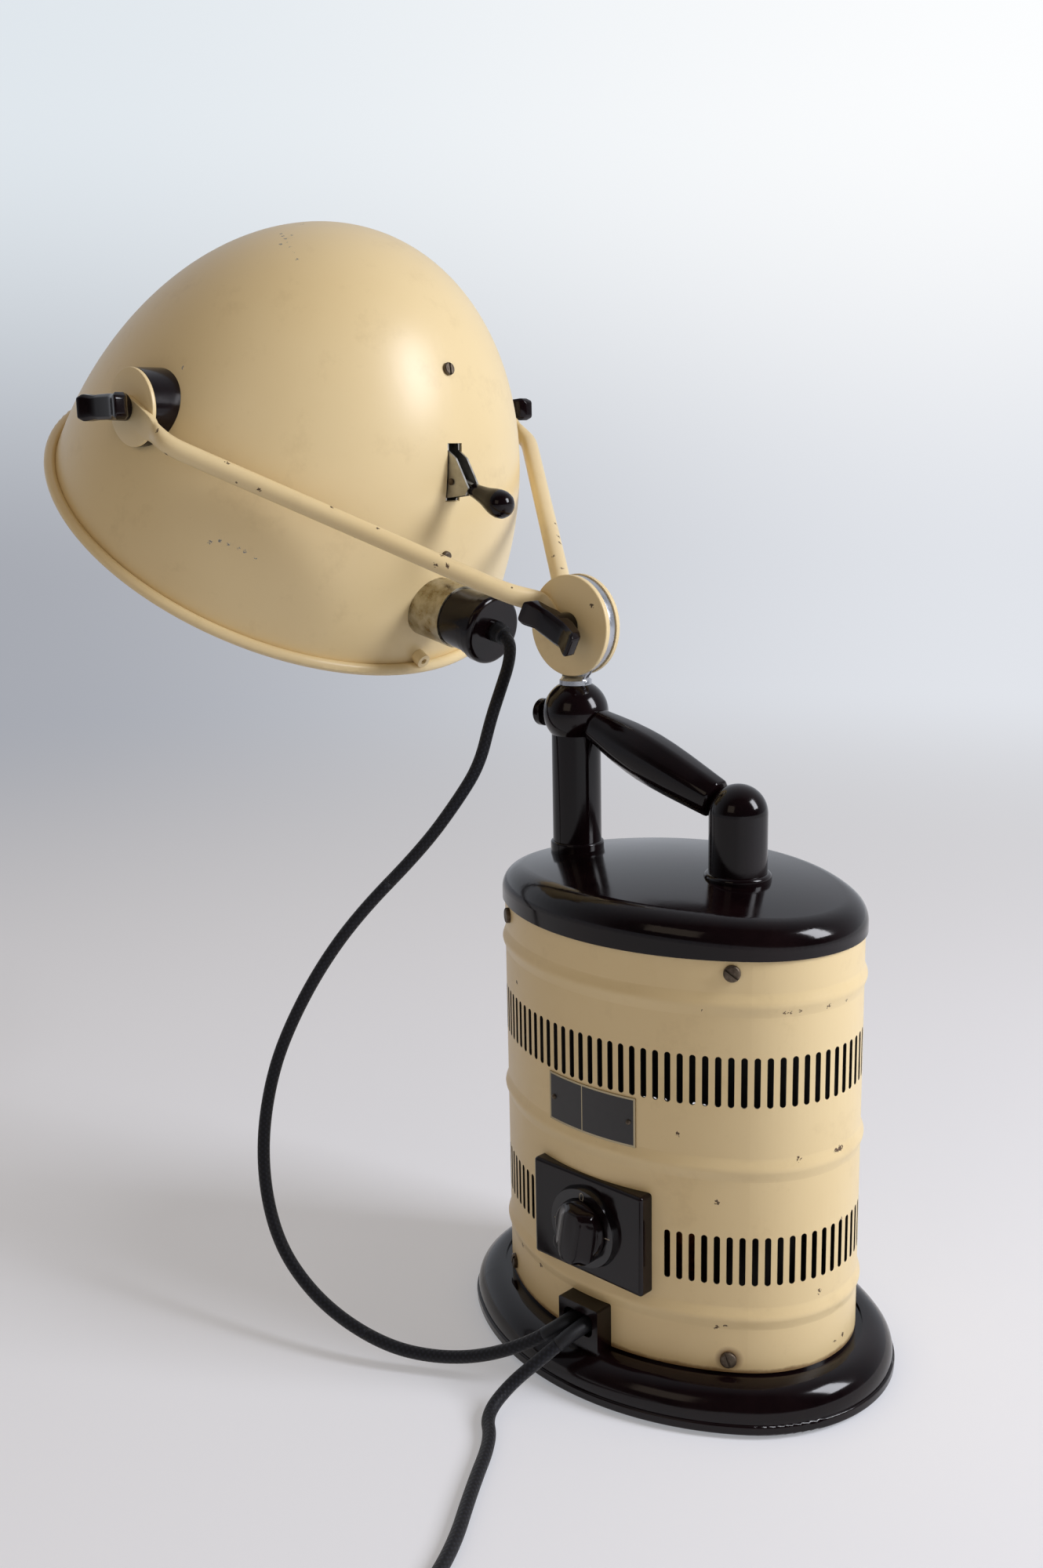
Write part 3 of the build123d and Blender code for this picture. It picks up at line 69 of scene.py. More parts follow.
# Head cord and mains cord: twin-core flex in a black braided cotton sleeve, limp enough to
# drape. The head cord runs from the plug on the shade down to the inlet in the base, and is
# made in three stretches.
cord_diameter = 0.0072


def evaluated_line(points, name):
    """Points along the smooth spline that a cord's route makes."""
    curve = bpy.data.curves.new(name, "CURVE")
    curve.dimensions = "3D"
    curve.resolution_u = 10
    spline = curve.splines.new("NURBS")
    spline.points.add(len(points) - 1)
    for point, place in zip(spline.points, points):
        point.co = (*place, 1)
    spline.order_u = 3
    spline.use_endpoint_u = True
    holder = bpy.data.objects.new(name, curve)
    bpy.context.scene.collection.objects.link(holder)
    bpy.context.view_layer.update()
    evaluated = holder.evaluated_get(bpy.context.evaluated_depsgraph_get())
    mesh = bpy.data.meshes.new_from_object(evaluated)
    line = [v.co.copy() for v in mesh.vertices]
    bpy.data.objects.remove(holder)
    bpy.data.meshes.remove(mesh)
    return line


def length_of(line):
    """Length of a line in metres."""
    return sum((b - a).length for a, b in zip(line, line[1:]))


def sleeve(name, line, radius, sides=20, tip=None):
    """Round tube along a line, tapered if it has a tip. Its UV map has u round it and v along."""
    shape = bmesh.new()
    uv = shape.loops.layers.uv.new("UVMap")
    rings = []
    along = 0.0
    lengths = []
    side = None
    whole = length_of(line)
    for i, place in enumerate(line):
        ahead = line[min(i + 1, len(line) - 1)] - line[max(i - 1, 0)]
        ahead.normalize()
        if side is None:
            side = ahead.orthogonal().normalized()
        side = (side - ahead * side.dot(ahead)).normalized()
        other = ahead.cross(side)
        if i:
            along += (place - line[i - 1]).length
        lengths.append(along)
        reach = radius if tip is None else radius + (tip - radius) * along / whole
        ring = []
        for k in range(sides):
            a = 2 * pi * k / sides
            ring.append(shape.verts.new(place + (side * cos(a) + other * sin(a)) * reach))
        rings.append(ring)
    for i in range(len(rings) - 1):
        for k in range(sides):
            j = (k + 1) % sides
            face = shape.faces.new((rings[i][k], rings[i][j], rings[i + 1][j], rings[i + 1][k]))
            face.smooth = True
            corners = ((k, i), (k + 1, i), (k + 1, i + 1), (k, i + 1))
            for loop, (around, row) in zip(face.loops, corners):
                loop[uv].uv = (around / sides, lengths[row] / (2 * pi * radius))
    shape.faces.new(list(reversed(rings[0])))
    shape.faces.new(rings[-1])
    mesh = bpy.data.meshes.new(name)
    shape.to_mesh(mesh)
    shape.free()
    piece = bpy.data.objects.new(name, mesh)
    bpy.context.scene.collection.objects.link(piece)
    return piece


head_route = [
    (-0.1382, 0, 0.3992), (-0.1265, 0, 0.3966), (-0.119, -0.008, 0.384),
    (-0.1175, -0.0185, 0.367), (-0.116, -0.0285, 0.351), (-0.116, -0.038, 0.3266),
    (-0.122, -0.05, 0.307), (-0.134, -0.068, 0.2796), (-0.164, -0.095, 0.2386),
    (-0.176, -0.118, 0.206), (-0.187, -0.135, 0.1688), (-0.188, -0.147, 0.141),
    (-0.184, -0.157, 0.111), (-0.175, -0.163, 0.082), (-0.161, -0.165, 0.056),
    (-0.14, -0.163, 0.037), (-0.115, -0.158, 0.0237), (-0.088, -0.148, 0.014),
    (-0.0655, -0.135, 0.0109), (-0.042, -0.122, 0.0147), (-0.019, -0.11, 0.026),
    (-0.0026, -0.099, 0.039), (-0.0026, -0.081, 0.039),
]
upper_cut = Vector((-0.149, -0.0815, 0.2591))
lower_cut = Vector((-0.1015, -0.153, 0.01885))
head_line = evaluated_line(head_route, "head_route")
first = min(range(len(head_line)), key=lambda i: (head_line[i] - upper_cut).length)
second = min(range(len(head_line)), key=lambda i: (head_line[i] - lower_cut).length)
upper_line = head_line[: first + 1]
middle_line = head_line[first : second + 1]
lower_line = head_line[second:]
cord_upper = sleeve("braided_cord_upper", upper_line, cord_diameter / 2)
cord_middle = sleeve("braided_cord_middle", middle_line, cord_diameter / 2)
cord_lower = sleeve("braided_cord_lower", lower_line, cord_diameter / 2)
for piece, line in ((cord_upper, upper_line), (cord_middle, middle_line), (cord_lower, lower_line)):
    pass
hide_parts("head_cord_upper")
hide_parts("head_cord_middle")
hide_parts("head_cord_lower")
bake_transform(cord_upper)
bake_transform(cord_middle)
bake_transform(cord_lower)

mains_route = [
    (0.0066, -0.081, 0.039),
    (0.0066, -0.098, 0.039),
    (-0.003, -0.113, 0.026),
    (-0.014, -0.127, 0.012),
    (-0.013, -0.146, 0.00365),
    (0.004, -0.159, 0.00365),
    (0.0245, -0.193, 0.00365),
]
coil_centre = Vector((0.131, -0.301, 0))
coil_pitch = 0.0077
coil_inner = 0.028
coil_turns = 3
coil_start = 200
cord_rest = 0.00365
coil_outer = coil_inner + coil_turns * coil_pitch
step_angle = 15
climb_turned = 180
upper_turned = 990
lower_end = 360 * coil_turns
climb_end = lower_end + climb_turned
coil_end = climb_end + upper_turned
start_out = Vector((cos(radians(coil_start)), sin(radians(coil_start)), 0))
start_way = Vector((-start_out.y, start_out.x, 0))
touch = coil_centre + start_out * coil_outer + Vector((0, 0, cord_rest))
for short_of in (0.09, 0.045, 0.012):
    mains_route.append(tuple(touch - start_way * short_of))
for turned in range(0, coil_end + 1, step_angle):
    if turned <= lower_end:
        radius = coil_outer - coil_pitch * turned / 360
        lift = 0.0
    elif turned <= climb_end:
        radius = coil_inner
        share = (turned - lower_end) / climb_turned
        lift = coil_pitch * (3 - 2 * share) * share**2
    else:
        radius = coil_inner + coil_pitch * (turned - climb_end) / 360
        lift = coil_pitch
    a = radians(coil_start + turned)
    radius = radius / cos(radians(step_angle / 2))
    mains_route.append((coil_centre.x + radius * cos(a), coil_centre.y + radius * sin(a), cord_rest + lift))
leave_at = Vector(mains_route[-1])
leave_way = Vector((-sin(a), cos(a), 0))
plug_axis_z = 0.01805
plug_rows = ((0.01, cord_rest + coil_pitch), (0.024, 0.0135), (0.038, plug_axis_z), (0.0544, plug_axis_z))
for ahead, height in plug_rows:
    mains_route.append((leave_at.x + leave_way.x * ahead, leave_at.y + leave_way.y * ahead, height))
mains_line = evaluated_line(mains_route, "mains_route")
mains_sleeve = sleeve("braided_mains_cord", mains_line, cord_diameter / 2, sides=16)
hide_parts("mains_cord", "mains_cord_coil")
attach(mains_sleeve, "base")


def linear(code):
    """The linear colour of an sRGB hex value."""
    parts = [int(code[i : i + 2], 16) / 255 for i in (1, 3, 5)]
    return tuple(c / 12.92 if c <= 0.04045 else ((c + 0.055) / 1.055) ** 2.4 for c in parts) + (1.0,)


def add(material, kind, settings=None, values=None, links=None):
    """Adds one shader node, sets its fields and socket values, and links its sockets."""
    tree = material.node_tree
    made = tree.nodes.new("ShaderNode" + kind)
    for name, value in (settings or {}).items():
        setattr(made, name, value)
    for name, value in (values or {}).items():
        made.inputs[name].default_value = value
    for name, (source, output) in (links or {}).items():
        tree.links.new(source.outputs[output], made.inputs[name])
    return made


def new_material(name):
    """Material with no nodes yet."""
    material = bpy.data.materials.new(name)
    material.use_nodes = True
    material.node_tree.nodes.clear()
    return material


def finish_material(material, shader):
    """Sends a shader to the surface."""
    add(material, "OutputMaterial", links={"Surface": (shader, 0)})


def dress(piece, material):
    """Gives a whole piece one material."""
    piece.data.materials.clear()
    piece.data.materials.append(material)
    for face in piece.data.polygons:
        face.material_index = 0


# Braided cotton: black with a blue cast, dull, with the strands crossing at 45 degrees. A real
# strand is about 1 mm wide; 14 go round the 23 mm girth here, coarser so that they show.
strands_round = 14
colours = {"data_type": "RGBA"}
braid = new_material("black_braided_cotton")
braid_uv = add(braid, "TexCoord")
braid_map = add(
    braid,
    "Mapping",
    values={"Scale": (strands_round, strands_round, strands_round)},
    links={"Vector": (braid_uv, "UV")},
)
braid_split = add(braid, "SeparateXYZ", links={"Vector": (braid_map, 0)})
braid_sum = add(braid, "Math", {"operation": "ADD"}, links={0: (braid_split, 0), 1: (braid_split, 1)})
braid_gap = add(braid, "Math", {"operation": "SUBTRACT"}, links={0: (braid_split, 0), 1: (braid_split, 1)})
braid_a = add(braid, "Math", {"operation": "PINGPONG"}, {1: 1.0}, {0: (braid_sum, 0)})
braid_b = add(braid, "Math", {"operation": "PINGPONG"}, {1: 1.0}, {0: (braid_gap, 0)})
braid_height = add(braid, "Math", {"operation": "MULTIPLY"}, links={0: (braid_a, 0), 1: (braid_b, 0)})
braid_colour = add(
    braid, "Mix", colours, {6: linear("#090A10"), 7: linear("#1D202B")}, {0: (braid_height, 0)}
)
braid_bump = add(
    braid, "Bump", values={"Strength": 0.6, "Distance": 0.0003}, links={"Height": (braid_height, 0)}
)
braid_shader = add(
    braid,
    "BsdfPrincipled",
    values={"Roughness": 0.6, "Sheen Weight": 0.12, "Specular IOR Level": 0.3},
    links={"Base Color": (braid_colour, 2), "Normal": (braid_bump, 0)},
)
finish_material(braid, braid_shader)
for piece in (cord_upper, cord_middle, cord_lower, mains_sleeve):
    dress(piece, braid)


def clouded(name, dark, pale, scale, rough, values=None, bump=0.0):
    """Material whose colour and roughness drift in clouds, with a fine grain in its surface."""
    material = new_material(name)
    place = (add(material, "TexCoord"), "Object")
    cloud = add(
        material,
        "TexNoise",
        values={"Scale": scale, "Detail": 4.0, "Roughness": 0.6},
        links={"Vector": place},
    )
    wide = add(material, "MapRange", values={"From Min": 0.3, "From Max": 0.7}, links={"Value": (cloud, 0)})
    colour = add(material, "Mix", colours, {6: linear(dark), 7: linear(pale)}, {0: (wide, 0)})
    gloss = add(
        material, "MapRange", values={"To Min": rough[0], "To Max": rough[1]}, links={"Value": (wide, 0)}
    )
    grain = add(material, "TexNoise", values={"Scale": scale * 12, "Detail": 2.0}, links={"Vector": place})
    relief = add(
        material, "Bump", values={"Strength": bump, "Distance": 0.0004}, links={"Height": (grain, 0)}
    )
    shader = add(
        material,
        "BsdfPrincipled",
        values=values,
        links={"Base Color": (colour, 2), "Roughness": (gloss, 0), "Normal": (relief, 0)},
    )
    finish_material(material, shader)
    return material


# Lead sleeves and plug collar: two tapered rubber tubes, pushed into the inlet's gland, that
# keep the cords from bending sharply where they leave the base, and a short collar pressed on
# the head plug's neck. The rubber is near black and dull, clouded by handling.
rubber = clouded("black_moulded_rubber", "#0B0B0E", "#16171C", 60.0, (0.45, 0.62), bump=0.15)
sleeve_long, sleeve_root, sleeve_tip = 0.026, 0.0045, 0.0038
collar_long, collar_root, collar_tip = 0.0065, 0.0064, 0.0058


def stretch(line, length):
    """First part of a line, as long as asked."""
    part = [line[0]]
    gone = 0.0
    for near, far in zip(line, line[1:]):
        gone += (far - near).length
        part.append(far)
        if gone >= length:
            break
    return part


for name, line in (
    ("head_lead_sleeve", list(reversed(lower_line))),
    ("mains_lead_sleeve", mains_line),
):
    lead = sleeve(name, stretch(line, sleeve_long), sleeve_root, tip=sleeve_tip)
    dress(lead, rubber)
    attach(lead, "base")
plug_collar = sleeve("head_plug_collar", stretch(upper_line, collar_long), collar_root, tip=collar_tip)
dress(plug_collar, rubber)
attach(plug_collar, "head")


# Casing: rolled steel sheet, spray painted and stoved in a warm cream that has yellowed. The
# gloss has a slight orange peel. Knocks have chipped it to brown metal at the rims of the
# slots, and it has rusted along the foot. The slot walls and the inside seen through the slots
# are painted near black, as painted shade.
def stove_enamel(name, marks, bare=("#352A22", "#6E5238")):
    """Cream paint up to its colour, with chips to bare metal, each a middle and radii in metres."""
    material = new_material(name)
    place = (add(material, "TexCoord"), "Object")
    cloud = add(material, "TexNoise", values={"Scale": 9.0, "Detail": 4.0}, links={"Vector": place})
    tone = add(material, "Mix", colours, {6: linear("#EBD8AB"), 7: linear("#E3CC9A")}, {0: (cloud, 0)})
    grime = add(
        material,
        "TexNoise",
        values={"Scale": 38.0, "Detail": 6.0, "Roughness": 0.7},
        links={"Vector": place},
    )
    grime_here = add(
        material,
        "MapRange",
        values={"From Min": 0.56, "From Max": 0.8, "To Max": 0.3},
        links={"Value": (grime, 0)},
    )
    grimed = add(material, "Mix", colours, {7: linear("#BFA777")}, {0: (grime_here, 0), 6: (tone, 2)})
    dust = add(material, "TexVoronoi", {"feature": "F1"}, {"Scale": 60.0}, {"Vector": place})
    dust_pick = add(material, "SeparateColor", links={0: (dust, "Color")})
    dust_rare = add(material, "Math", {"operation": "GREATER_THAN"}, {1: 0.94}, {0: (dust_pick, 0)})
    dust_near = add(material, "Math", {"operation": "LESS_THAN"}, {1: 0.04}, {0: (dust, "Distance")})
    dust_here = add(
        material, "Math", {"operation": "MULTIPLY"}, links={0: (dust_rare, 0), 1: (dust_near, 0)}
    )
    dusted = add(material, "Mix", colours, {7: linear("#6B573A")}, {0: (dust_here, 0), 6: (grimed, 2)})
    ragged = add(material, "TexNoise", values={"Scale": 800.0, "Detail": 3.0}, links={"Vector": place})
    ragged_middle = add(
        material, "VectorMath", {"operation": "SUBTRACT"}, {1: (0.5, 0.5, 0.5)}, {0: (ragged, "Color")}
    )
    ragged_place = add(
        material,
        "VectorMath",
        {"operation": "MULTIPLY_ADD"},
        {1: (0.005, 0.005, 0.005)},
        {0: (ragged_middle, 0), 2: place},
    )
    nearest = None
    for middle, radii in marks:
        local = add(
            material,
            "Mapping",
            {"vector_type": "TEXTURE"},
            {"Location": middle, "Scale": radii},
            {"Vector": (ragged_place, 0)},
        )
        away = add(material, "VectorMath", {"operation": "LENGTH"}, links={0: (local, 0)})
        if nearest is None:
            nearest = (away, "Value")
        else:
            least = add(material, "Math", {"operation": "MINIMUM"}, links={0: nearest, 1: (away, "Value")})
            nearest = (least, 0)
    chipped = add(
        material,
        "MapRange",
        values={"From Min": 0.9, "From Max": 1.15, "To Min": 1.0, "To Max": 0.0},
        links={"Value": nearest},
    )
    metal = add(material, "Mix", colours, {6: linear(bare[0]), 7: linear(bare[1])}, {0: (grime, 0)})
    colour = add(material, "Mix", colours, links={0: (chipped, 0), 6: (dusted, 2), 7: (metal, 2)})
    return material, place, grime, chipped, colour


def finish_enamel(material, place, chipped, colour):
    """Gives the paint its gloss and orange peel, with the chips sunk in and dull."""
    peel = add(material, "TexNoise", values={"Scale": 170.0, "Detail": 1.0}, links={"Vector": place})
    height = add(
        material, "Math", {"operation": "MULTIPLY_ADD"}, {1: -6.0}, {0: (chipped, 0), 2: (peel, 0)}
    )
    relief = add(
        material, "Bump", values={"Strength": 0.06, "Distance": 0.0005}, links={"Height": (height, 0)}
    )
    gloss = add(material, "MapRange", values={"To Min": 0.36, "To Max": 0.6}, links={"Value": (chipped, 0)})
    shader = add(
        material,
        "BsdfPrincipled",
        values={"IOR": 1.5},
        links={"Base Color": (colour, 2), "Roughness": (gloss, 0), "Normal": (relief, 0)},
    )
    finish_material(material, shader)


def chips(places, size=0.0011):
    """Round chips of one size at several places."""
    return [(place, (size, size, size)) for place in places]


casing_chips = chips(
    (
        (0.0648, -0.0621, 0.2269), (0.0974, -0.037, 0.2261), (0.0988, -0.0348, 0.2259),
        (0.1018, -0.0303, 0.2258), (0.1083, -0.014, 0.2258), (0.1098, -0.0006, 0.2254),
        (0.0537, -0.0676, 0.1574), (0.0077, -0.078, 0.142), (0.1023, -0.0292, 0.1451),
        (0.0639, -0.0628, 0.1393), (0.0887, -0.0464, 0.1396), (-0.0659, -0.062, 0.2115),
        (0.0721, -0.0582, 0.1219), (0.11, 0.0009, 0.1029), (0.1079, -0.0154, 0.0666),
        (0.0726, -0.058, 0.0508), (0.0763, -0.0554, 0.0525), (0.1097, -0.0026, 0.0327),
        (0.1098, 0.005, 0.0328), (-0.0642, -0.0629, 0.0506), (-0.041, -0.0722, 0.0504),
    )
)
casing_chips.append(((0.1098, -0.004, 0.1441), (0.0014, 0.0042, 0.0014)))
casing_paint, casing_place, casing_grime, casing_chipped, casing_colour = stove_enamel(
    "cream_stove_enamel_casing", casing_chips
)
# Painted shade: faces that turn away from the outside, the slot walls and the casing's inside, are mixed to
# near black
facing = add(casing_paint, "NewGeometry")
outward = add(casing_paint, "VectorMath", {"operation": "MULTIPLY"}, {1: (1, 1, 0)}, {0: casing_place})
outward_way = add(casing_paint, "VectorMath", {"operation": "NORMALIZE"}, links={0: (outward, 0)})
outward_share = add(
    casing_paint,
    "VectorMath",
    {"operation": "DOT_PRODUCT"},
    links={0: (facing, "True Normal"), 1: (outward_way, 0)},
)
slot_wall_painted_shade = add(
    casing_paint,
    "MapRange",
    values={"From Min": 0.35, "From Max": 0.6, "To Min": 1.0, "To Max": 0.0},
    links={"Value": (outward_share, "Value")},
)
slot_painted_shade = add(
    casing_paint, "Mix", colours, {7: linear("#1A140F")}, {0: (slot_wall_painted_shade, 0), 6: (casing_colour, 2)}
)
rust_low, rust_top = 0.0228, 0.0246
rusty_screw, rust_reach = (0.0779, -0.0539, 0.0325), 0.0068
casing_split = add(casing_paint, "SeparateXYZ", links={"Vector": casing_place})
foot_rise = add(
    casing_paint,
    "Math",
    {"operation": "MULTIPLY_ADD"},
    {1: -0.006},
    {0: (casing_grime, 0), 2: (casing_split, "Z")},
)
foot_rust = add(
    casing_paint,
    "MapRange",
    values={"From Min": rust_low, "From Max": rust_top, "To Min": 0.75, "To Max": 0.0},
    links={"Value": (foot_rise, 0)},
)
screw_local = add(
    casing_paint,
    "Mapping",
    {"vector_type": "TEXTURE"},
    {"Location": rusty_screw, "Scale": (rust_reach, rust_reach, rust_reach)},
    {"Vector": casing_place},
)
screw_away = add(casing_paint, "VectorMath", {"operation": "LENGTH"}, links={0: (screw_local, 0)})
screw_rust = add(
    casing_paint,
    "MapRange",
    values={"From Min": 0.7, "From Max": 1.15, "To Min": 0.7, "To Max": 0.0},
    links={"Value": (screw_away, "Value")},
)
rusted = add(casing_paint, "Math", {"operation": "MAXIMUM"}, links={0: (foot_rust, 0), 1: (screw_rust, 0)})
casing_final = add(casing_paint, "Mix", colours, {7: linear("#7A5530")}, {0: (rusted, 0), 6: (slot_painted_shade, 2)})
finish_enamel(casing_paint, casing_place, casing_chipped, casing_final)
dress(nodes["casing"], casing_paint)


# Shade and its rim: deep-drawn steel in the same paint, with a rolled rim, hung in the fork by
# two pivot bolts. It is scratched down to grey on the left flank and at the crown.
shade_chips = chips(
    (
        (-0.2283, -0.1076, 0.4462), (-0.2474, -0.1246, 0.4561), (-0.2423, -0.1216, 0.4565),
        (-0.2318, -0.1119, 0.4499), (-0.2688, -0.1216, 0.5558), (-0.2687, -0.0284, 0.6424),
        (-0.2551, -0.0566, 0.6271), (-0.2574, -0.0462, 0.6335), (-0.2369, -0.0592, 0.6168),
    ),
    0.0009,
)
shade_chips += chips(
    (
        (-0.2383, -0.118, 0.4546), (-0.2343, -0.1144, 0.4522), (-0.2657, -0.0474, 0.6351),
        (-0.2616, -0.0491, 0.6331), (-0.2575, -0.0511, 0.6308), (-0.2534, -0.0532, 0.6285),
        (-0.2479, -0.0552, 0.6246), (-0.2424, -0.0572, 0.6207),
    ),
    0.0007,
)
shade_paint, shade_place, _, shade_chipped, shade_colour = stove_enamel(
    "cream_stove_enamel_shade", shade_chips, ("#5F6268", "#8E949C")
)
finish_enamel(shade_paint, shade_place, shade_chipped, shade_colour)
for name in ("shade", "shade_rim", "rim_boss"):
    dress(nodes[name], shade_paint)


def start(name, operator, **settings):
    """Adds a primitive to model from, at its size and place, and opens it with nothing picked."""
    bpy.ops.object.select_all(action="DESELECT")
    operator(**settings)
    piece = bpy.context.object
    piece.name = name
    bpy.ops.object.transform_apply(location=True, rotation=True, scale=True)
    bpy.ops.object.mode_set(mode="EDIT")
    bpy.ops.mesh.select_all(action="DESELECT")
    return piece


def pick(piece, kind, test):
    """Picks the faces or the edges that pass a test."""
    bpy.ops.mesh.select_mode(type=kind)
    bpy.ops.mesh.select_all(action="DESELECT")
    shape = bmesh.from_edit_mesh(piece.data)
    for item in shape.faces if kind == "FACE" else shape.edges:
        if test(item):
            item.select_set(True)
    bmesh.update_edit_mesh(piece.data)


def pull(way, middle, scale=(1, 1, 1), turn=0.0):
    """Extrudes the picked face, then scales its new end and turns it about Z, about a middle."""
    bpy.ops.mesh.extrude_region_move(TRANSFORM_OT_translate={"value": way})
    bpy.ops.transform.resize(value=scale, center_override=middle)
    if turn:
        bpy.ops.transform.rotate(value=-turn, orient_axis="Z", center_override=middle)


def trim(piece, kind, **settings):
    """Adds one modifier and applies it."""
    bpy.ops.object.mode_set(mode="OBJECT")
    modifier = piece.modifiers.new(kind.lower(), kind)
    for name, value in settings.items():
        setattr(modifier, name, value)
    bpy.context.view_layer.objects.active = piece
    bpy.ops.object.modifier_apply(modifier=modifier.name)


def soften(piece, width, segments=3, over=30):
    """Rounds the edges that are sharper than an angle in degrees."""
    limit = radians(over)
    trim(piece, "BEVEL", width=width, segments=segments, limit_method="ANGLE", angle_limit=limit)


def unite(piece, others):
    """Joins other pieces into one."""
    bpy.ops.object.select_all(action="DESELECT")
    for item in (piece, *others):
        item.select_set(True)
    bpy.context.view_layer.objects.active = piece
    bpy.ops.object.join()


def settle(piece, matrix, smooth=35):
    """Puts a piece modelled at the origin in its place, and shades its curved faces smooth."""
    if piece.mode == "EDIT":
        bpy.ops.object.mode_set(mode="OBJECT")
    bpy.ops.object.select_all(action="DESELECT")
    piece.select_set(True)
    bpy.context.view_layer.objects.active = piece
    piece.matrix_world = matrix
    bpy.ops.object.transform_apply(location=True, rotation=True, scale=True)
    bpy.ops.object.mode_set(mode="EDIT")
    bpy.ops.mesh.select_all(action="SELECT")
    bpy.ops.mesh.normals_make_consistent(inside=False)
    bpy.ops.object.mode_set(mode="OBJECT")
    bpy.ops.object.shade_smooth_by_angle(angle=radians(smooth))


def placing(origin, x_way, y_way):
    """Matrix that takes local axes to an origin and two directions."""
    x_way = Vector(x_way).normalized()
    y_way = Vector(y_way).normalized()
    z_way = x_way.cross(y_way)
    matrix = Matrix((x_way, y_way, z_way)).transposed().to_4x4()
    matrix.translation = Vector(origin)
    return matrix


# Fork arms: round steel rod, hammered flat at both ends. At the shade each end is a strip that
# is riveted to a cream disc; at the elbow it is a tongue brazed flat onto the big disc. Each
# row is the rod's place along and out from the shade's pivot in mm, its heading in degrees,
# and its half thickness and half width in mm.
fork_rows = (
    (-4, 148.4, 0, 1.75, 6.0),
    (2, 148.4, 0, 1.75, 7.2),
    (22, 148.4, 0, 1.75, 7.2),
    (29, 148.4, 0, 2.6, 7.0),
    (34, 148.2, 0, 4.4, 6.4),
    (40, 147.8, 8, 5.9, 6.0),
    (45, 146.2, 22, 6.0, 6.0),
    (50, 143.2, 34, 6.0, 6.0),
    (56, 138.9, 36.5, 6.0, 6.0),
    (95, 110.0, 36.5, 6.0, 6.0),
    (150, 69.3, 36.5, 6.0, 6.0),
    (198, 33.8, 36.5, 6.0, 6.0),
    (208, 26.0, 42, 6.0, 6.0),
    (214.5, 19.4, 54, 5.6, 6.4),
    (219.5, 12.0, 60, 4.6, 7.0),
    (222.5, 8.4, 30, 2.6, 7.6),
    (226, 7.1, 0, 1.4, 7.6),
    (231, 7.0, 0, 1.2, 6.4),
    (236, 6.9, 0, 1.1, 4.4),
    (240, 6.8, 0, 1.0, 2.0),
)
row_before = (-7, 148.4, 0, 1.7, 3.0)
rod_tip = (-0.007, 0.1484, 0)
front_rod = start(
    "front_fork_rod",
    bpy.ops.mesh.primitive_plane_add,
    size=0.002,
    location=rod_tip,
    rotation=(0, pi / 2, 0),
)
bpy.ops.mesh.select_all(action="SELECT")
bpy.ops.transform.resize(value=(1, row_before[3], row_before[4]), center_override=rod_tip)
bpy.ops.mesh.select_mode(type="FACE")
for row in fork_rows:
    pull(
        ((row[0] - row_before[0]) / 1000, (row[1] - row_before[1]) / 1000, 0),
        (row[0] / 1000, row[1] / 1000, 0),
        (row[3] / row_before[3], row[3] / row_before[3], row[4] / row_before[4]),
        radians(row_before[2] - row[2]),
    )
    row_before = row
# The long edges of the two flat ends stay sharp
strip_end, tongue_start = 0.0295, 0.2215
pick(
    front_rod,
    "EDGE",
    lambda edge: all(v.co.x < strip_end or v.co.x > tongue_start for v in edge.verts)
    and abs((edge.verts[0].co - edge.verts[1].co).x) > 0.001
    and abs((edge.verts[0].co - edge.verts[1].co).z) < 0.004,
)
bpy.ops.transform.edge_crease(value=0.75)
trim(front_rod, "SUBSURF", levels=3)
disc = start(
    "pivot_disc",
    bpy.ops.mesh.primitive_cylinder_add,
    vertices=96,
    radius=0.0227,
    depth=0.0026,
    location=(0, 0.14535, 0),
    rotation=(pi / 2, 0, 0),
)
soften(disc, 0.0006)
unite(front_rod, [disc])
bpy.ops.object.duplicate()
rear_rod = bpy.context.object
rear_rod.name = "rear_fork_rod"
fork_origin = (-0.287007, 0, 0.533579)
along_fork = (0.85896, 0, -0.51204)
fork_placing = placing(fork_origin, along_fork, (0, 1, 0))
settle(rear_rod, fork_placing)
settle(front_rod, fork_placing @ Matrix.Scale(-1, 4, (0, 1, 0)))
arm_chips = chips(
    (
        (-0.2544, -0.1512, 0.5196), (-0.2493, -0.1494, 0.5061), (-0.2218, -0.1278, 0.5012),
        (-0.2068, -0.1182, 0.4858), (-0.1786, -0.0891, 0.4755), (-0.1697, -0.0803, 0.4579),
        (-0.1583, -0.0730, 0.4633), (-0.1316, -0.0537, 0.4422), (-0.1313, -0.0485, 0.4473),
        (-0.1267, -0.0493, 0.4417), (-0.1527, 0.0695, 0.4596), (-0.1407, 0.0591, 0.4524),
        (-0.1347, 0.0539, 0.4489), (-0.1257, 0.0379, 0.4418), (-0.1122, 0.0305, 0.4357),
        (-0.0946, -0.0085, 0.4271), (-0.0563, -0.0062, 0.4195),
    )
)
arm_paint, arm_place, _, arm_chipped, arm_colour = stove_enamel("cream_stove_enamel_fork", arm_chips)
finish_enamel(arm_paint, arm_place, arm_chipped, arm_colour)
for piece, name in ((front_rod, "front_fork_arm"), (rear_rod, "rear_fork_arm")):
    dress(piece, arm_paint)
    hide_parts(name)
    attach(piece, "fork")
for name in ("front_elbow_disc", "rear_elbow_disc"):
    dress(nodes[name], arm_paint)


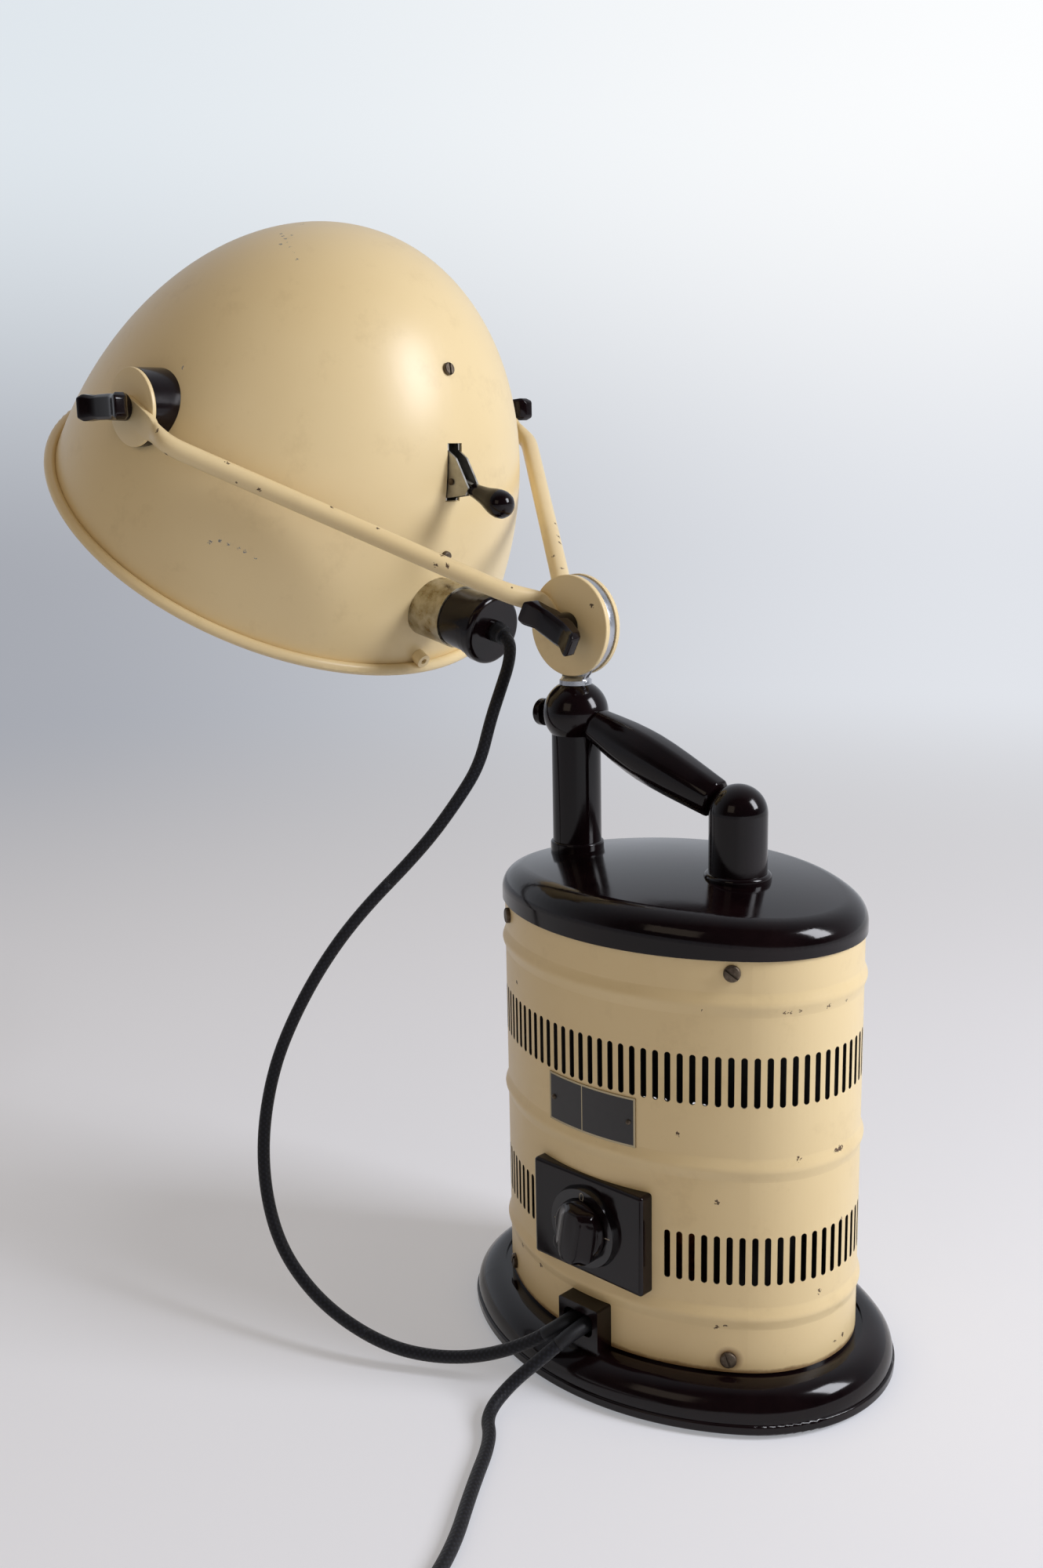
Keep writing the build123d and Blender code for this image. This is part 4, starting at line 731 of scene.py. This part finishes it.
# Cover, foot, column, ball, post, drums and plugs: pressed bakelite, near black with a
# red-brown depth, still glossy from the mould with a bloom of fine scuffs
bakelite = clouded(
    "near_black_bakelite", "#0A0406", "#150A0C", 30.0, (0.09, 0.17),
    {"IOR": 1.5, "Specular IOR Level": 0.3}, bump=0.02
)
for name in (
    "foot_flange", "switch_plate", "cable_inlet", "top_cover", "column", "column_ball",
    "rear_post", "mains_plug", "rear_pivot_drum", "front_pivot_drum", "head_plug",
    "thumb_screw",
):
    dress(nodes[name], bakelite)


def drawn(name, rows, sides, x=0.0, turn=0.0):
    """Models a bar that stands on end, through rows of height, half width and half depth."""
    piece = start(
        name,
        bpy.ops.mesh.primitive_circle_add,
        vertices=sides,
        radius=rows[0][1],
        fill_type="NGON",
        location=(x, 0, rows[0][0]),
        rotation=(0, 0, turn),
    )
    bpy.ops.mesh.select_all(action="SELECT")
    bpy.ops.mesh.select_mode(type="FACE")
    for old, new in zip(rows, rows[1:]):
        pull((0, 0, new[0] - old[0]), (x, 0, new[0]), (new[1] / old[1], new[-1] / old[-1], 1))
    return piece


# Lever knob: a pear moulded in bakelite on the lever's neck, slim between the bracket's cheeks
# and full from just outside them
pear_rows = (
    (0.0098, 0.0030), (0.0135, 0.0030), (0.0141, 0.0041), (0.0200, 0.0047), (0.0260, 0.0058),
    (0.0310, 0.0073), (0.0350, 0.0082), (0.0385, 0.0083), (0.0418, 0.0075), (0.0442, 0.0056),
    (0.0455, 0.0032), (0.0459, 0.0010),
)
lever_root = (-0.16771, 0, 0.48723)
pear = drawn("lever_pear", pear_rows, 40)
settle(pear, placing(lever_root, (0.3461, 0, 0.9382), (0, -1, 0)), smooth=60)
dress(pear, bakelite)
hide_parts("lever_knob")
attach(pear, "lever")


# Grip: an eight-sided bakelite handle, thickest at its middle, bolted between the ball on the
# column and the rear post
grip_rows = (
    (0.0165, 0.0106), (0.020, 0.0108), (0.030, 0.0123), (0.040, 0.0136), (0.050, 0.0144),
    (0.058, 0.0147), (0.068, 0.0145), (0.080, 0.0138), (0.094, 0.0126), (0.108, 0.0114),
)
column_x = -0.0745
ball_height = 0.3567
grip = drawn("eight_sided_grip", grip_rows, 8, turn=pi / 8)
soften(grip, 0.0022)
settle(grip, placing((column_x, 0, ball_height), (0.349, 0, 0.9374), (0, -1, 0)), smooth=25)
dress(grip, bakelite)
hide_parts("grip")
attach(grip, "base")


# Switch knob: a bakelite skirt with a tall bar across it to turn it by, and a lobe with a
# dimple that points at the marks on the dial, pushed onto the switch's shaft
knob_axis = (0.002, -0.0853, 0.093)
lobe_x, lobe_y = 0.0165 * cos(radians(223)), 0.0165 * sin(radians(223))
knob = start(
    "switch_knob_body",
    bpy.ops.mesh.primitive_cone_add,
    vertices=96,
    radius1=0.017,
    radius2=0.0155,
    depth=0.0045,
    location=(0, 0, 0.00225),
)
soften(knob, 0.0013, 4, over=40)
bar = start(
    "knob_bar", bpy.ops.mesh.primitive_cube_add, size=1, location=(0, 0, 0.003), scale=(0.025, 0.032, 0.006)
)
pick(bar, "EDGE", lambda edge: abs((edge.verts[0].co - edge.verts[1].co).z) > 0.004)
bpy.ops.mesh.bevel(offset=0.008, segments=6, profile=0.5, clamp_overlap=True)
pick(bar, "FACE", lambda face: face.normal.z > 0.9)
pull((0, 0, 0.0018), (0, 0, 0.0078), (0.72, 0.98, 1))
pull((0, 0, 0.0022), (0, 0, 0.0100), (0.82, 0.99, 1))
pull((0, 0, 0.0010), (0, 0, 0.0110), (0.84, 0.97, 1))
pull((0, 0, 0.0004), (0, 0, 0.0114), (0.60, 0.93, 1))
settle(bar, Matrix.Translation((0.0006, -0.0012, 0)) @ Matrix.Rotation(radians(-10), 4, "Z"))
lobe = start(
    "knob_lobe",
    bpy.ops.mesh.primitive_cylinder_add,
    vertices=48,
    radius=0.0052,
    depth=0.0045,
    location=(lobe_x, lobe_y, 0.00225),
)
pick(lobe, "FACE", lambda face: face.normal.z > 0.9)
bpy.ops.mesh.inset(thickness=0.0028)
pull((0, 0, -0.0012), (lobe_x, lobe_y, 0.0033), (0.5, 0.5, 1))
soften(lobe, 0.0007, over=40)
unite(knob, [bar, lobe])
settle(knob, placing(knob_axis, (1, 0, 0), (0, 0, 1)), smooth=50)
dress(knob, bakelite)
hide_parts("switch_knob")
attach(knob, "switch_knob")


# Wing nuts: pressed bakelite, with a round boss on a brass insert and two blunt faceted wings
# that slope up to their tips. One clamps the elbow and one each side pivots the shade.
nut = start(
    "elbow_nut_body",
    bpy.ops.mesh.primitive_cube_add,
    size=1,
    location=(0, 0, 0.00975),
    scale=(0.013, 0.0145, 0.0115),
)
for side in (1, -1):
    pick(nut, "FACE", lambda face: face.normal.x * side > 0.9)
    pull((side * 0.0045, 0, 0.001), (side * 0.011, 0, 0.01075), (1, 0.94, 0.9))
    pull((side * 0.0055, 0, 0.003), (side * 0.0165, 0, 0.01375), (1, 1.12, 0.95))
    pull((side * 0.003, 0, 0.002), (side * 0.0195, 0, 0.01575), (1, 1, 0.92))
    pull((side * 0.0014, 0, 0.0006), (side * 0.0209, 0, 0.01635), (1, 0.55, 0.6))
soften(nut, 0.0024, 1, over=60)
soften(nut, 0.0006, over=25)
boss = start(
    "nut_boss",
    bpy.ops.mesh.primitive_cone_add,
    vertices=48,
    radius1=0.008,
    radius2=0.0074,
    depth=0.0122,
    location=(0, 0, 0.0061),
)
soften(boss, 0.0008, over=40)
unite(nut, [boss])
elbow_height = 0.4069
elbow_way = radians(-27)
pivot_x, pivot_y, pivot_height = -0.287005, 0.1503, 0.53358
nut_places = (
    (
        "elbow_nut_body", "elbow_wing_nut", "elbow_nut",
        placing(
            (column_x, -0.0061, elbow_height),
            (cos(elbow_way), 0, sin(elbow_way)),
            (-sin(elbow_way), 0, cos(elbow_way)),
        ),
    ),
    (
        "front_nut_body", "front_pivot_wing_nut", "front_nut",
        placing((pivot_x, -pivot_y, pivot_height), (1, 0, 0), (0, 0, 1)),
    ),
    (
        "rear_nut_body", "rear_pivot_wing_nut", "rear_nut",
        placing((pivot_x, pivot_y, pivot_height), (-1, 0, 0), (0, 0, 1)),
    ),
)
plain_nut = nut.data.copy()
for name, node, body, matrix in nut_places:
    if name == nut.name:
        piece = nut
    else:
        piece = bpy.data.objects.new(name, plain_nut.copy())
        bpy.context.scene.collection.objects.link(piece)
    settle(piece, matrix, smooth=25)
    dress(piece, bakelite)
    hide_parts(node)
    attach(piece, body)
bpy.data.meshes.remove(plain_nut)


# Swivel stem: a nickel-plated casting. Its spigot turns in the ball on the column; above a
# round collar it flattens and flares into the knuckle disc that the elbow's discs clamp.
stem_rows = (
    (0.3180, 0.0050, 0.0050), (0.3725, 0.0050, 0.0050), (0.3726, 0.0090, 0.0090),
    (0.3730, 0.0093, 0.0093), (0.3756, 0.0093, 0.0093), (0.3762, 0.0089, 0.0082),
    (0.3770, 0.0092, 0.0055), (0.3780, 0.0102, 0.0036), (0.3800, 0.0120, 0.0029),
    (0.3850, 0.0145, 0.0027),
)
stem = drawn("stem_and_knuckle", stem_rows, 48, x=column_x)
bpy.ops.object.mode_set(mode="OBJECT")
knuckle = start(
    "knuckle_disc",
    bpy.ops.mesh.primitive_cylinder_add,
    vertices=96,
    radius=0.0282,
    depth=0.0056,
    location=(column_x, 0, elbow_height),
    rotation=(pi / 2, 0, 0),
)
soften(knuckle, 0.0006)
unite(stem, [knuckle])
settle(stem, Matrix.Identity(4))
nickel = clouded("worn_nickel_plate", "#A9ABB0", "#CBCDD2", 70.0, (0.2, 0.42), {"Metallic": 1.0}, bump=0.08)
dress(stem, nickel)
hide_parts("swivel_stem")
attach(stem, "stem")


# Dial: a bakelite disc under the knob, with a nought at the top and foot and a tick at each
# side, engraved and rubbed with white paint
engraved_depth_y = -0.08505
dial_middle = (0.002, -0.0848, 0.093)
dial_radius = 0.0213
dial_paint = new_material("black_bakelite_with_white_marks")
dial_place = (add(dial_paint, "TexCoord"), "Object")
dial_split = add(dial_paint, "SeparateXYZ", links={"Vector": dial_place})
dial_sunk = add(
    dial_paint, "Math", {"operation": "GREATER_THAN"}, {1: engraved_depth_y}, {0: (dial_split, "Y")}
)
dial_local = add(dial_paint, "VectorMath", {"operation": "SUBTRACT"}, {1: dial_middle}, {0: dial_place})
dial_away = add(dial_paint, "VectorMath", {"operation": "LENGTH"}, links={0: (dial_local, 0)})
dial_inside = add(
    dial_paint, "Math", {"operation": "LESS_THAN"}, {1: dial_radius}, {0: (dial_away, "Value")}
)
dial_mark = add(
    dial_paint, "Math", {"operation": "MULTIPLY"}, links={0: (dial_sunk, 0), 1: (dial_inside, 0)}
)
dial_wear = add(dial_paint, "TexNoise", values={"Scale": 300.0}, links={"Vector": dial_place})
dial_rough = add(
    dial_paint, "MapRange", values={"To Min": 0.1, "To Max": 0.22}, links={"Value": (dial_wear, 0)}
)
dial_colour = add(
    dial_paint, "Mix", colours, {6: linear("#0D0709"), 7: linear("#CFCBC0")}, {0: (dial_mark, 0)}
)
dial_shader = add(
    dial_paint,
    "BsdfPrincipled",
    values={"IOR": 1.5},
    links={"Base Color": (dial_colour, 2), "Roughness": (dial_rough, 0)},
)
finish_material(dial_paint, dial_shader)
dress(nodes["switch_dial"], dial_paint)


# Nameplate: thin brass, riveted to the casing at both ends, etched and filled black so that
# only a fine border and one upright line stay bright. It is bare of words and a little stained.
plate_paint = new_material("etched_brass_filled_black")
plate_place = (add(plate_paint, "TexCoord"), "Object")
plate_split = add(plate_paint, "SeparateXYZ", links={"Vector": plate_place})
plate_x, plate_half_length = 0.002, 0.030
plate_z, plate_half_height = 0.15925, 0.01375
border_inset = 0.0011
divider_x, divider_half = -0.0022, 0.0003
plate_bright = None
for output, middle, side_of, reach in (
    ("X", plate_x, "GREATER_THAN", plate_half_length - border_inset),
    ("Z", plate_z, "GREATER_THAN", plate_half_height - border_inset),
    ("X", divider_x, "LESS_THAN", divider_half),
):
    off = add(plate_paint, "Math", {"operation": "SUBTRACT"}, {1: middle}, {0: (plate_split, output)})
    away = add(plate_paint, "Math", {"operation": "ABSOLUTE"}, links={0: (off, 0)})
    line = add(plate_paint, "Math", {"operation": side_of}, {1: reach}, {0: (away, 0)})
    if plate_bright:
        line = add(
            plate_paint, "Math", {"operation": "MAXIMUM"}, links={0: (plate_bright, 0), 1: (line, 0)}
        )
    plate_bright = line
plate_stain = add(
    plate_paint, "TexNoise", values={"Scale": 150.0, "Detail": 5.0}, links={"Vector": plate_place}
)
plate_fill = add(
    plate_paint, "Mix", colours, {6: linear("#1B1A1C"), 7: linear("#2C2A2A")}, {0: (plate_stain, 0)}
)
plate_colour = add(
    plate_paint, "Mix", colours, {7: linear("#A79A7E")}, {0: (plate_bright, 0), 6: (plate_fill, 2)}
)
plate_rough = add(
    plate_paint, "MapRange", values={"To Min": 0.22, "To Max": 0.45}, links={"Value": (plate_stain, 0)}
)
plate_shader = add(
    plate_paint,
    "BsdfPrincipled",
    links={
        "Base Color": (plate_colour, 2), "Roughness": (plate_rough, 0), "Metallic": (plate_bright, 0),
    },
)
finish_material(plate_paint, plate_shader)
dress(nodes["nameplate"], plate_paint)


# Screws, rivets and bolts: plated steel that has gone brown and dull, driven into the sheet
# metal and through the fork's discs. It gives the eye dark dots with a faint metal edge.
old_steel = clouded(
    "brown_oxidised_steel", "#3B2F26", "#75695A", 260.0, (0.32, 0.6), {"Metallic": 0.75}, bump=0.2
)
for name in (
    "body_screws", "shade_screws", "nameplate_rivets", "elbow_bolt", "pivot_bolts", "bracket_pins"
):
    dress(nodes[name], old_steel)

# Lever bracket: zinc-plated steel strip, dull and pale, screwed behind the slot in the shade.
# The lever, the burner's cradle and the plate under the base's gear are the same metal.
zinc = clouded("dull_zinc_plate", "#8E8C86", "#BDBBB4", 90.0, (0.3, 0.5), {"Metallic": 1.0}, bump=0.1)
for name in ("lever_bracket", "burner_lever", "burner_cradle", "chassis_plate"):
    dress(nodes[name], zinc)

# Socket collar: nickel-plated brass tube in the shade, tarnished in brown patches with bright
# lips. The plug's pins and the burner's caps are plated the same way.
collar = clouded(
    "tarnished_nickel_collar", "#82765C", "#C6C0AE", 120.0, (0.2, 0.5), {"Metallic": 1.0}, bump=0.1
)
for name in ("socket_ring", "mains_plug_pins", "burner_caps"):
    dress(nodes[name], collar)

# Socket insert and terminal block: pressed porcelain with an off-white glaze, smooth enough to
# shine. The insert sits in the socket collar, the block on the plate in the base.
porcelain = clouded("glazed_porcelain", "#CFC8B6", "#E6E1D4", 40.0, (0.12, 0.22), {"IOR": 1.5}, bump=0.03)
for name in ("socket_insert", "terminal_block"):
    dress(nodes[name], porcelain)

# Gland in the cord inlet: a black rubber bush with two holes, squeezed in behind the inlet's
# front, that grips both lead sleeves
dress(nodes["inlet_gland"], rubber)

# Felt mat: pressed grey-green wool, fuzzy and quite without shine, glued under the foot so that
# the lamp doesn't scratch a table
felt = clouded(
    "pressed_wool_felt", "#3E423A", "#5A5E53", 400.0, (0.9, 1.0), {"Sheen Weight": 0.4}, bump=0.6
)
dress(nodes["felt_mat"], felt)

# Reflector: a bowl of spun aluminium inside the shade, polished, with the fine rings that the
# spinning tool leaves. Its axis is the shade's.
reflector_axis = (0.57715, 0, 0.81664)
ring_frequency = 2500.0
spun = new_material("polished_spun_aluminium")
spun_place = (add(spun, "TexCoord"), "Object")
spun_axis = add(spun, "VectorMath", {"operation": "DOT_PRODUCT"}, {1: reflector_axis}, {0: spun_place})
spun_turns = add(spun, "Math", {"operation": "MULTIPLY"}, {1: ring_frequency}, {0: (spun_axis, "Value")})
spun_ridge = add(spun, "Math", {"operation": "SINE"}, links={0: (spun_turns, 0)})
spun_haze = add(spun, "TexNoise", values={"Scale": 45.0, "Detail": 4.0}, links={"Vector": spun_place})
spun_rough = add(spun, "MapRange", values={"To Min": 0.1, "To Max": 0.26}, links={"Value": (spun_haze, 0)})
spun_relief = add(
    spun, "Bump", values={"Strength": 0.08, "Distance": 0.0002}, links={"Height": (spun_ridge, 0)}
)
spun_shader = add(
    spun,
    "BsdfPrincipled",
    values={"Base Color": linear("#CFCFD1"), "Metallic": 1.0},
    links={"Roughness": (spun_rough, 0), "Normal": (spun_relief, 0)},
)
finish_material(spun, spun_shader)
dress(nodes["reflector"], spun)

# Burner: a tube of fused quartz, sealed at both ends and held by its caps in the cradle. It is
# clear and smooth, with a faint violet grey.
quartz = clouded(
    "fused_quartz_glass", "#C9C9D6", "#DDDDE8", 60.0, (0.03, 0.08),
    {"IOR": 1.46, "Transmission Weight": 0.85}
)
dress(nodes["burner_tube"], quartz)


# Heater rods: ceramic formers wound with dull resistance wire, hung from the reflector on both
# sides of the burner. The turns show as pale and dark bands.
def banded(name, dark, pale, direction, scale, wander, relief, values):
    """Material in straight bands of two colours that stand up a little from each other."""
    material = new_material(name)
    place = (add(material, "TexCoord"), "Object")
    bands = add(
        material,
        "TexWave",
        {"wave_type": "BANDS", "bands_direction": direction},
        {"Scale": scale, "Distortion": wander},
        {"Vector": place},
    )
    colour = add(material, "Mix", colours, {6: linear(dark), 7: linear(pale)}, {0: (bands, 0)})
    strength, depth = relief
    ridges = add(
        material, "Bump", values={"Strength": strength, "Distance": depth}, links={"Height": (bands, 0)}
    )
    shader = add(
        material, "BsdfPrincipled", values=values, links={"Base Color": (colour, 2), "Normal": (ridges, 0)}
    )
    finish_material(material, shader)
    return material


heater = banded(
    "wound_heater_rod", "#6F655A", "#B7AB98", "X", 160.0, 0.4, (0.5, 0.0004), {"Roughness": 0.55}
)
for name in ("front_heater_rod", "rear_heater_rod"):
    dress(nodes[name], heater)

# Choke: stacked iron sheets round a winding of enamelled copper wire, on the plate in the base.
# The sheets show as fine dark lines, the copper as a red-brown sheen.
iron = banded(
    "laminated_iron", "#2C2A2A", "#5C5750", "Y", 320.0, 0.3, (0.3, 0.0003),
    {"Metallic": 0.8, "Roughness": 0.5}
)
dress(nodes["choke_core"], iron)
copper = clouded(
    "enamelled_copper_winding", "#6A3519", "#A5602F", 220.0, (0.25, 0.4), {"Metallic": 0.7}, bump=0.4
)
dress(nodes["choke_winding"], copper)

# Capacitor: a drawn aluminium can, dull and pale grey, that stands on the plate in the base
# beside the choke
can = clouded("drawn_aluminium_can", "#8F9092", "#B9BABC", 110.0, (0.35, 0.5), {"Metallic": 1.0}, bump=0.08)
dress(nodes["capacitor"], can)

# Rotary switch: a brown phenolic moulding, satin, screwed behind the switch plate with its
# shaft through the casing into the knob
moulding = clouded(
    "brown_switch_moulding", "#2A1912", "#3E271B", 50.0, (0.3, 0.45), {"IOR": 1.5}, bump=0.05
)
dress(nodes["rotary_switch"], moulding)


# Studio: a pale floor that runs out into a pale background, with painted shade on its left and
# painted light on its right and above, a tall soft light from the right and weak warm fill from
# the rest of the room. Shiny surfaces see a bright wall behind the lamp and a dark room behind
# the camera.
view_right = (0.719, 0.695, 0)
behind_lamp = (-0.7071, 0.7071, 0)
eased = {"interpolation_type": "SMOOTHSTEP"}


def backdrop(target, way):
    """Colour of the background in a direction from the view, with painted shade to the left and painted
    light to the right and above.
    """
    across_view = add(target, "VectorMath", {"operation": "DOT_PRODUCT"}, {1: view_right}, {0: way})
    across_share = add(
        target, "MapRange", eased, {"From Min": -0.36, "From Max": 0.34}, {"Value": (across_view, "Value")}
    )
    # Painted shade on the left of the background and painted light on its right and above
    level = add(
        target, "Mix", colours, {6: linear("#A6A9B1"), 7: linear("#E2E5EB")}, {0: (across_share, 0)}
    )
    above = add(
        target, "Mix", colours, {6: linear("#DFE6EC"), 7: linear("#FDFEFF")}, {0: (across_share, 0)}
    )
    split = add(target, "SeparateXYZ", links={"Vector": way})
    rise = add(target, "MapRange", eased, {"From Min": -0.08, "From Max": 0.2}, {"Value": (split, "Z")})
    return add(target, "Mix", colours, links={0: (rise, 0), 6: (level, 2), 7: (above, 2)})


world = bpy.data.worlds.new("studio")
bpy.context.scene.world = world
world.use_nodes = True
world.node_tree.nodes.clear()
room_way = add(world, "TexCoord")
room_side = add(
    world, "VectorMath", {"operation": "DOT_PRODUCT"}, {1: behind_lamp}, {0: (room_way, "Generated")}
)
room_share = add(
    world,
    "MapRange",
    values={"From Min": -0.4, "From Max": 0.6, "To Min": 0.05, "To Max": 0.8},
    links={"Value": (room_side, "Value")},
)
room_light = add(world, "Background", values={"Color": linear("#FFEAD2"), "Strength": 0.29})
room_shine = add(
    world, "Background", values={"Color": linear("#E6EBF4")}, links={"Strength": (room_share, 0)}
)
room_colour = backdrop(world, (room_way, "Generated"))
room_seen = add(world, "Background", links={"Color": (room_colour, 2)})
rays = add(world, "LightPath")
room_glossy = add(
    world, "MixShader", links={0: (rays, "Is Glossy Ray"), 1: (room_light, 0), 2: (room_shine, 0)}
)
camera_or_glass = add(
    world,
    "Math",
    {"operation": "MAXIMUM"},
    links={0: (rays, "Is Camera Ray"), 1: (rays, "Is Transmission Ray")},
)
room_mix = add(world, "MixShader", links={0: (camera_or_glass, 0), 1: (room_glossy, 0), 2: (room_seen, 0)})
add(world, "OutputWorld", links={"Surface": (room_mix, 0)})

bpy.ops.object.select_all(action="DESELECT")
floor_radius = 7
bpy.ops.mesh.primitive_circle_add(vertices=96, radius=floor_radius, fill_type="NGON", location=(0, 0, 0))
floor = bpy.context.object
floor.name = "studio_floor"
floor_paint = new_material("pale_paper_floor")
floor_place = (add(floor_paint, "TexCoord"), "Object")
floor_far = add(floor_paint, "VectorMath", {"operation": "LENGTH"}, links={0: floor_place})
floor_fade = add(
    floor_paint, "MapRange", eased, {"From Min": 0.5, "From Max": 2.6}, {"Value": (floor_far, "Value")}
)
floor_from_view = add(
    floor_paint, "VectorMath", {"operation": "SUBTRACT"}, {1: tuple(camera_place)}, {0: floor_place}
)
floor_way = add(floor_paint, "VectorMath", {"operation": "NORMALIZE"}, links={0: (floor_from_view, 0)})
floor_backdrop = backdrop(floor_paint, (floor_way, 0))
floor_matte = add(floor_paint, "BsdfDiffuse", values={"Color": linear("#E6E8EE")})
floor_lift = add(floor_paint, "Emission", values={"Color": linear("#E9EDF5"), "Strength": 1.6})
floor_rays = add(floor_paint, "LightPath")
floor_camera_or_glossy = add(
    floor_paint,
    "Math",
    {"operation": "MAXIMUM"},
    links={0: (floor_rays, "Is Camera Ray"), 1: (floor_rays, "Is Glossy Ray")},
)
floor_seen = add(
    floor_paint,
    "Math",
    {"operation": "MAXIMUM"},
    links={0: (floor_camera_or_glossy, 0), 1: (floor_rays, "Is Transmission Ray")},
)
floor_lift_share = add(floor_paint, "Math", {"operation": "MULTIPLY"}, {1: 0.2}, {0: (floor_seen, 0)})
floor_near = add(
    floor_paint, "MixShader", links={0: (floor_lift_share, 0), 1: (floor_matte, 0), 2: (floor_lift, 0)}
)
floor_glow = add(floor_paint, "Emission", links={"Color": (floor_backdrop, 2)})
floor_mix = add(
    floor_paint, "MixShader", links={0: (floor_fade, 0), 1: (floor_near, 0), 2: (floor_glow, 0)}
)
finish_material(floor_paint, floor_mix)
dress(floor, floor_paint)


def soft_light(name, place, target, size, height, power, colour):
    """Rectangular soft light that faces a target."""
    lamp = bpy.data.lights.new(name, "AREA")
    lamp.shape = "RECTANGLE"
    lamp.size = size
    lamp.size_y = height
    lamp.energy = power
    lamp.color = linear(colour)[:3]
    holder = bpy.data.objects.new(name, lamp)
    holder.location = place
    holder.rotation_euler = (Vector(target) - Vector(place)).to_track_quat("-Z", "Y").to_euler()
    bpy.context.scene.collection.objects.link(holder)


soft_light("key_light", (1.5, 0.65, 1.3), (-0.1, 0, 0.3), 0.6, 1.0, 34, "#F7F8FF")
soft_light("front_light", (0.2, -1.9, 1.2), (-0.1, 0, 0.35), 0.9, 0.9, 2.0, "#FFEAD2")
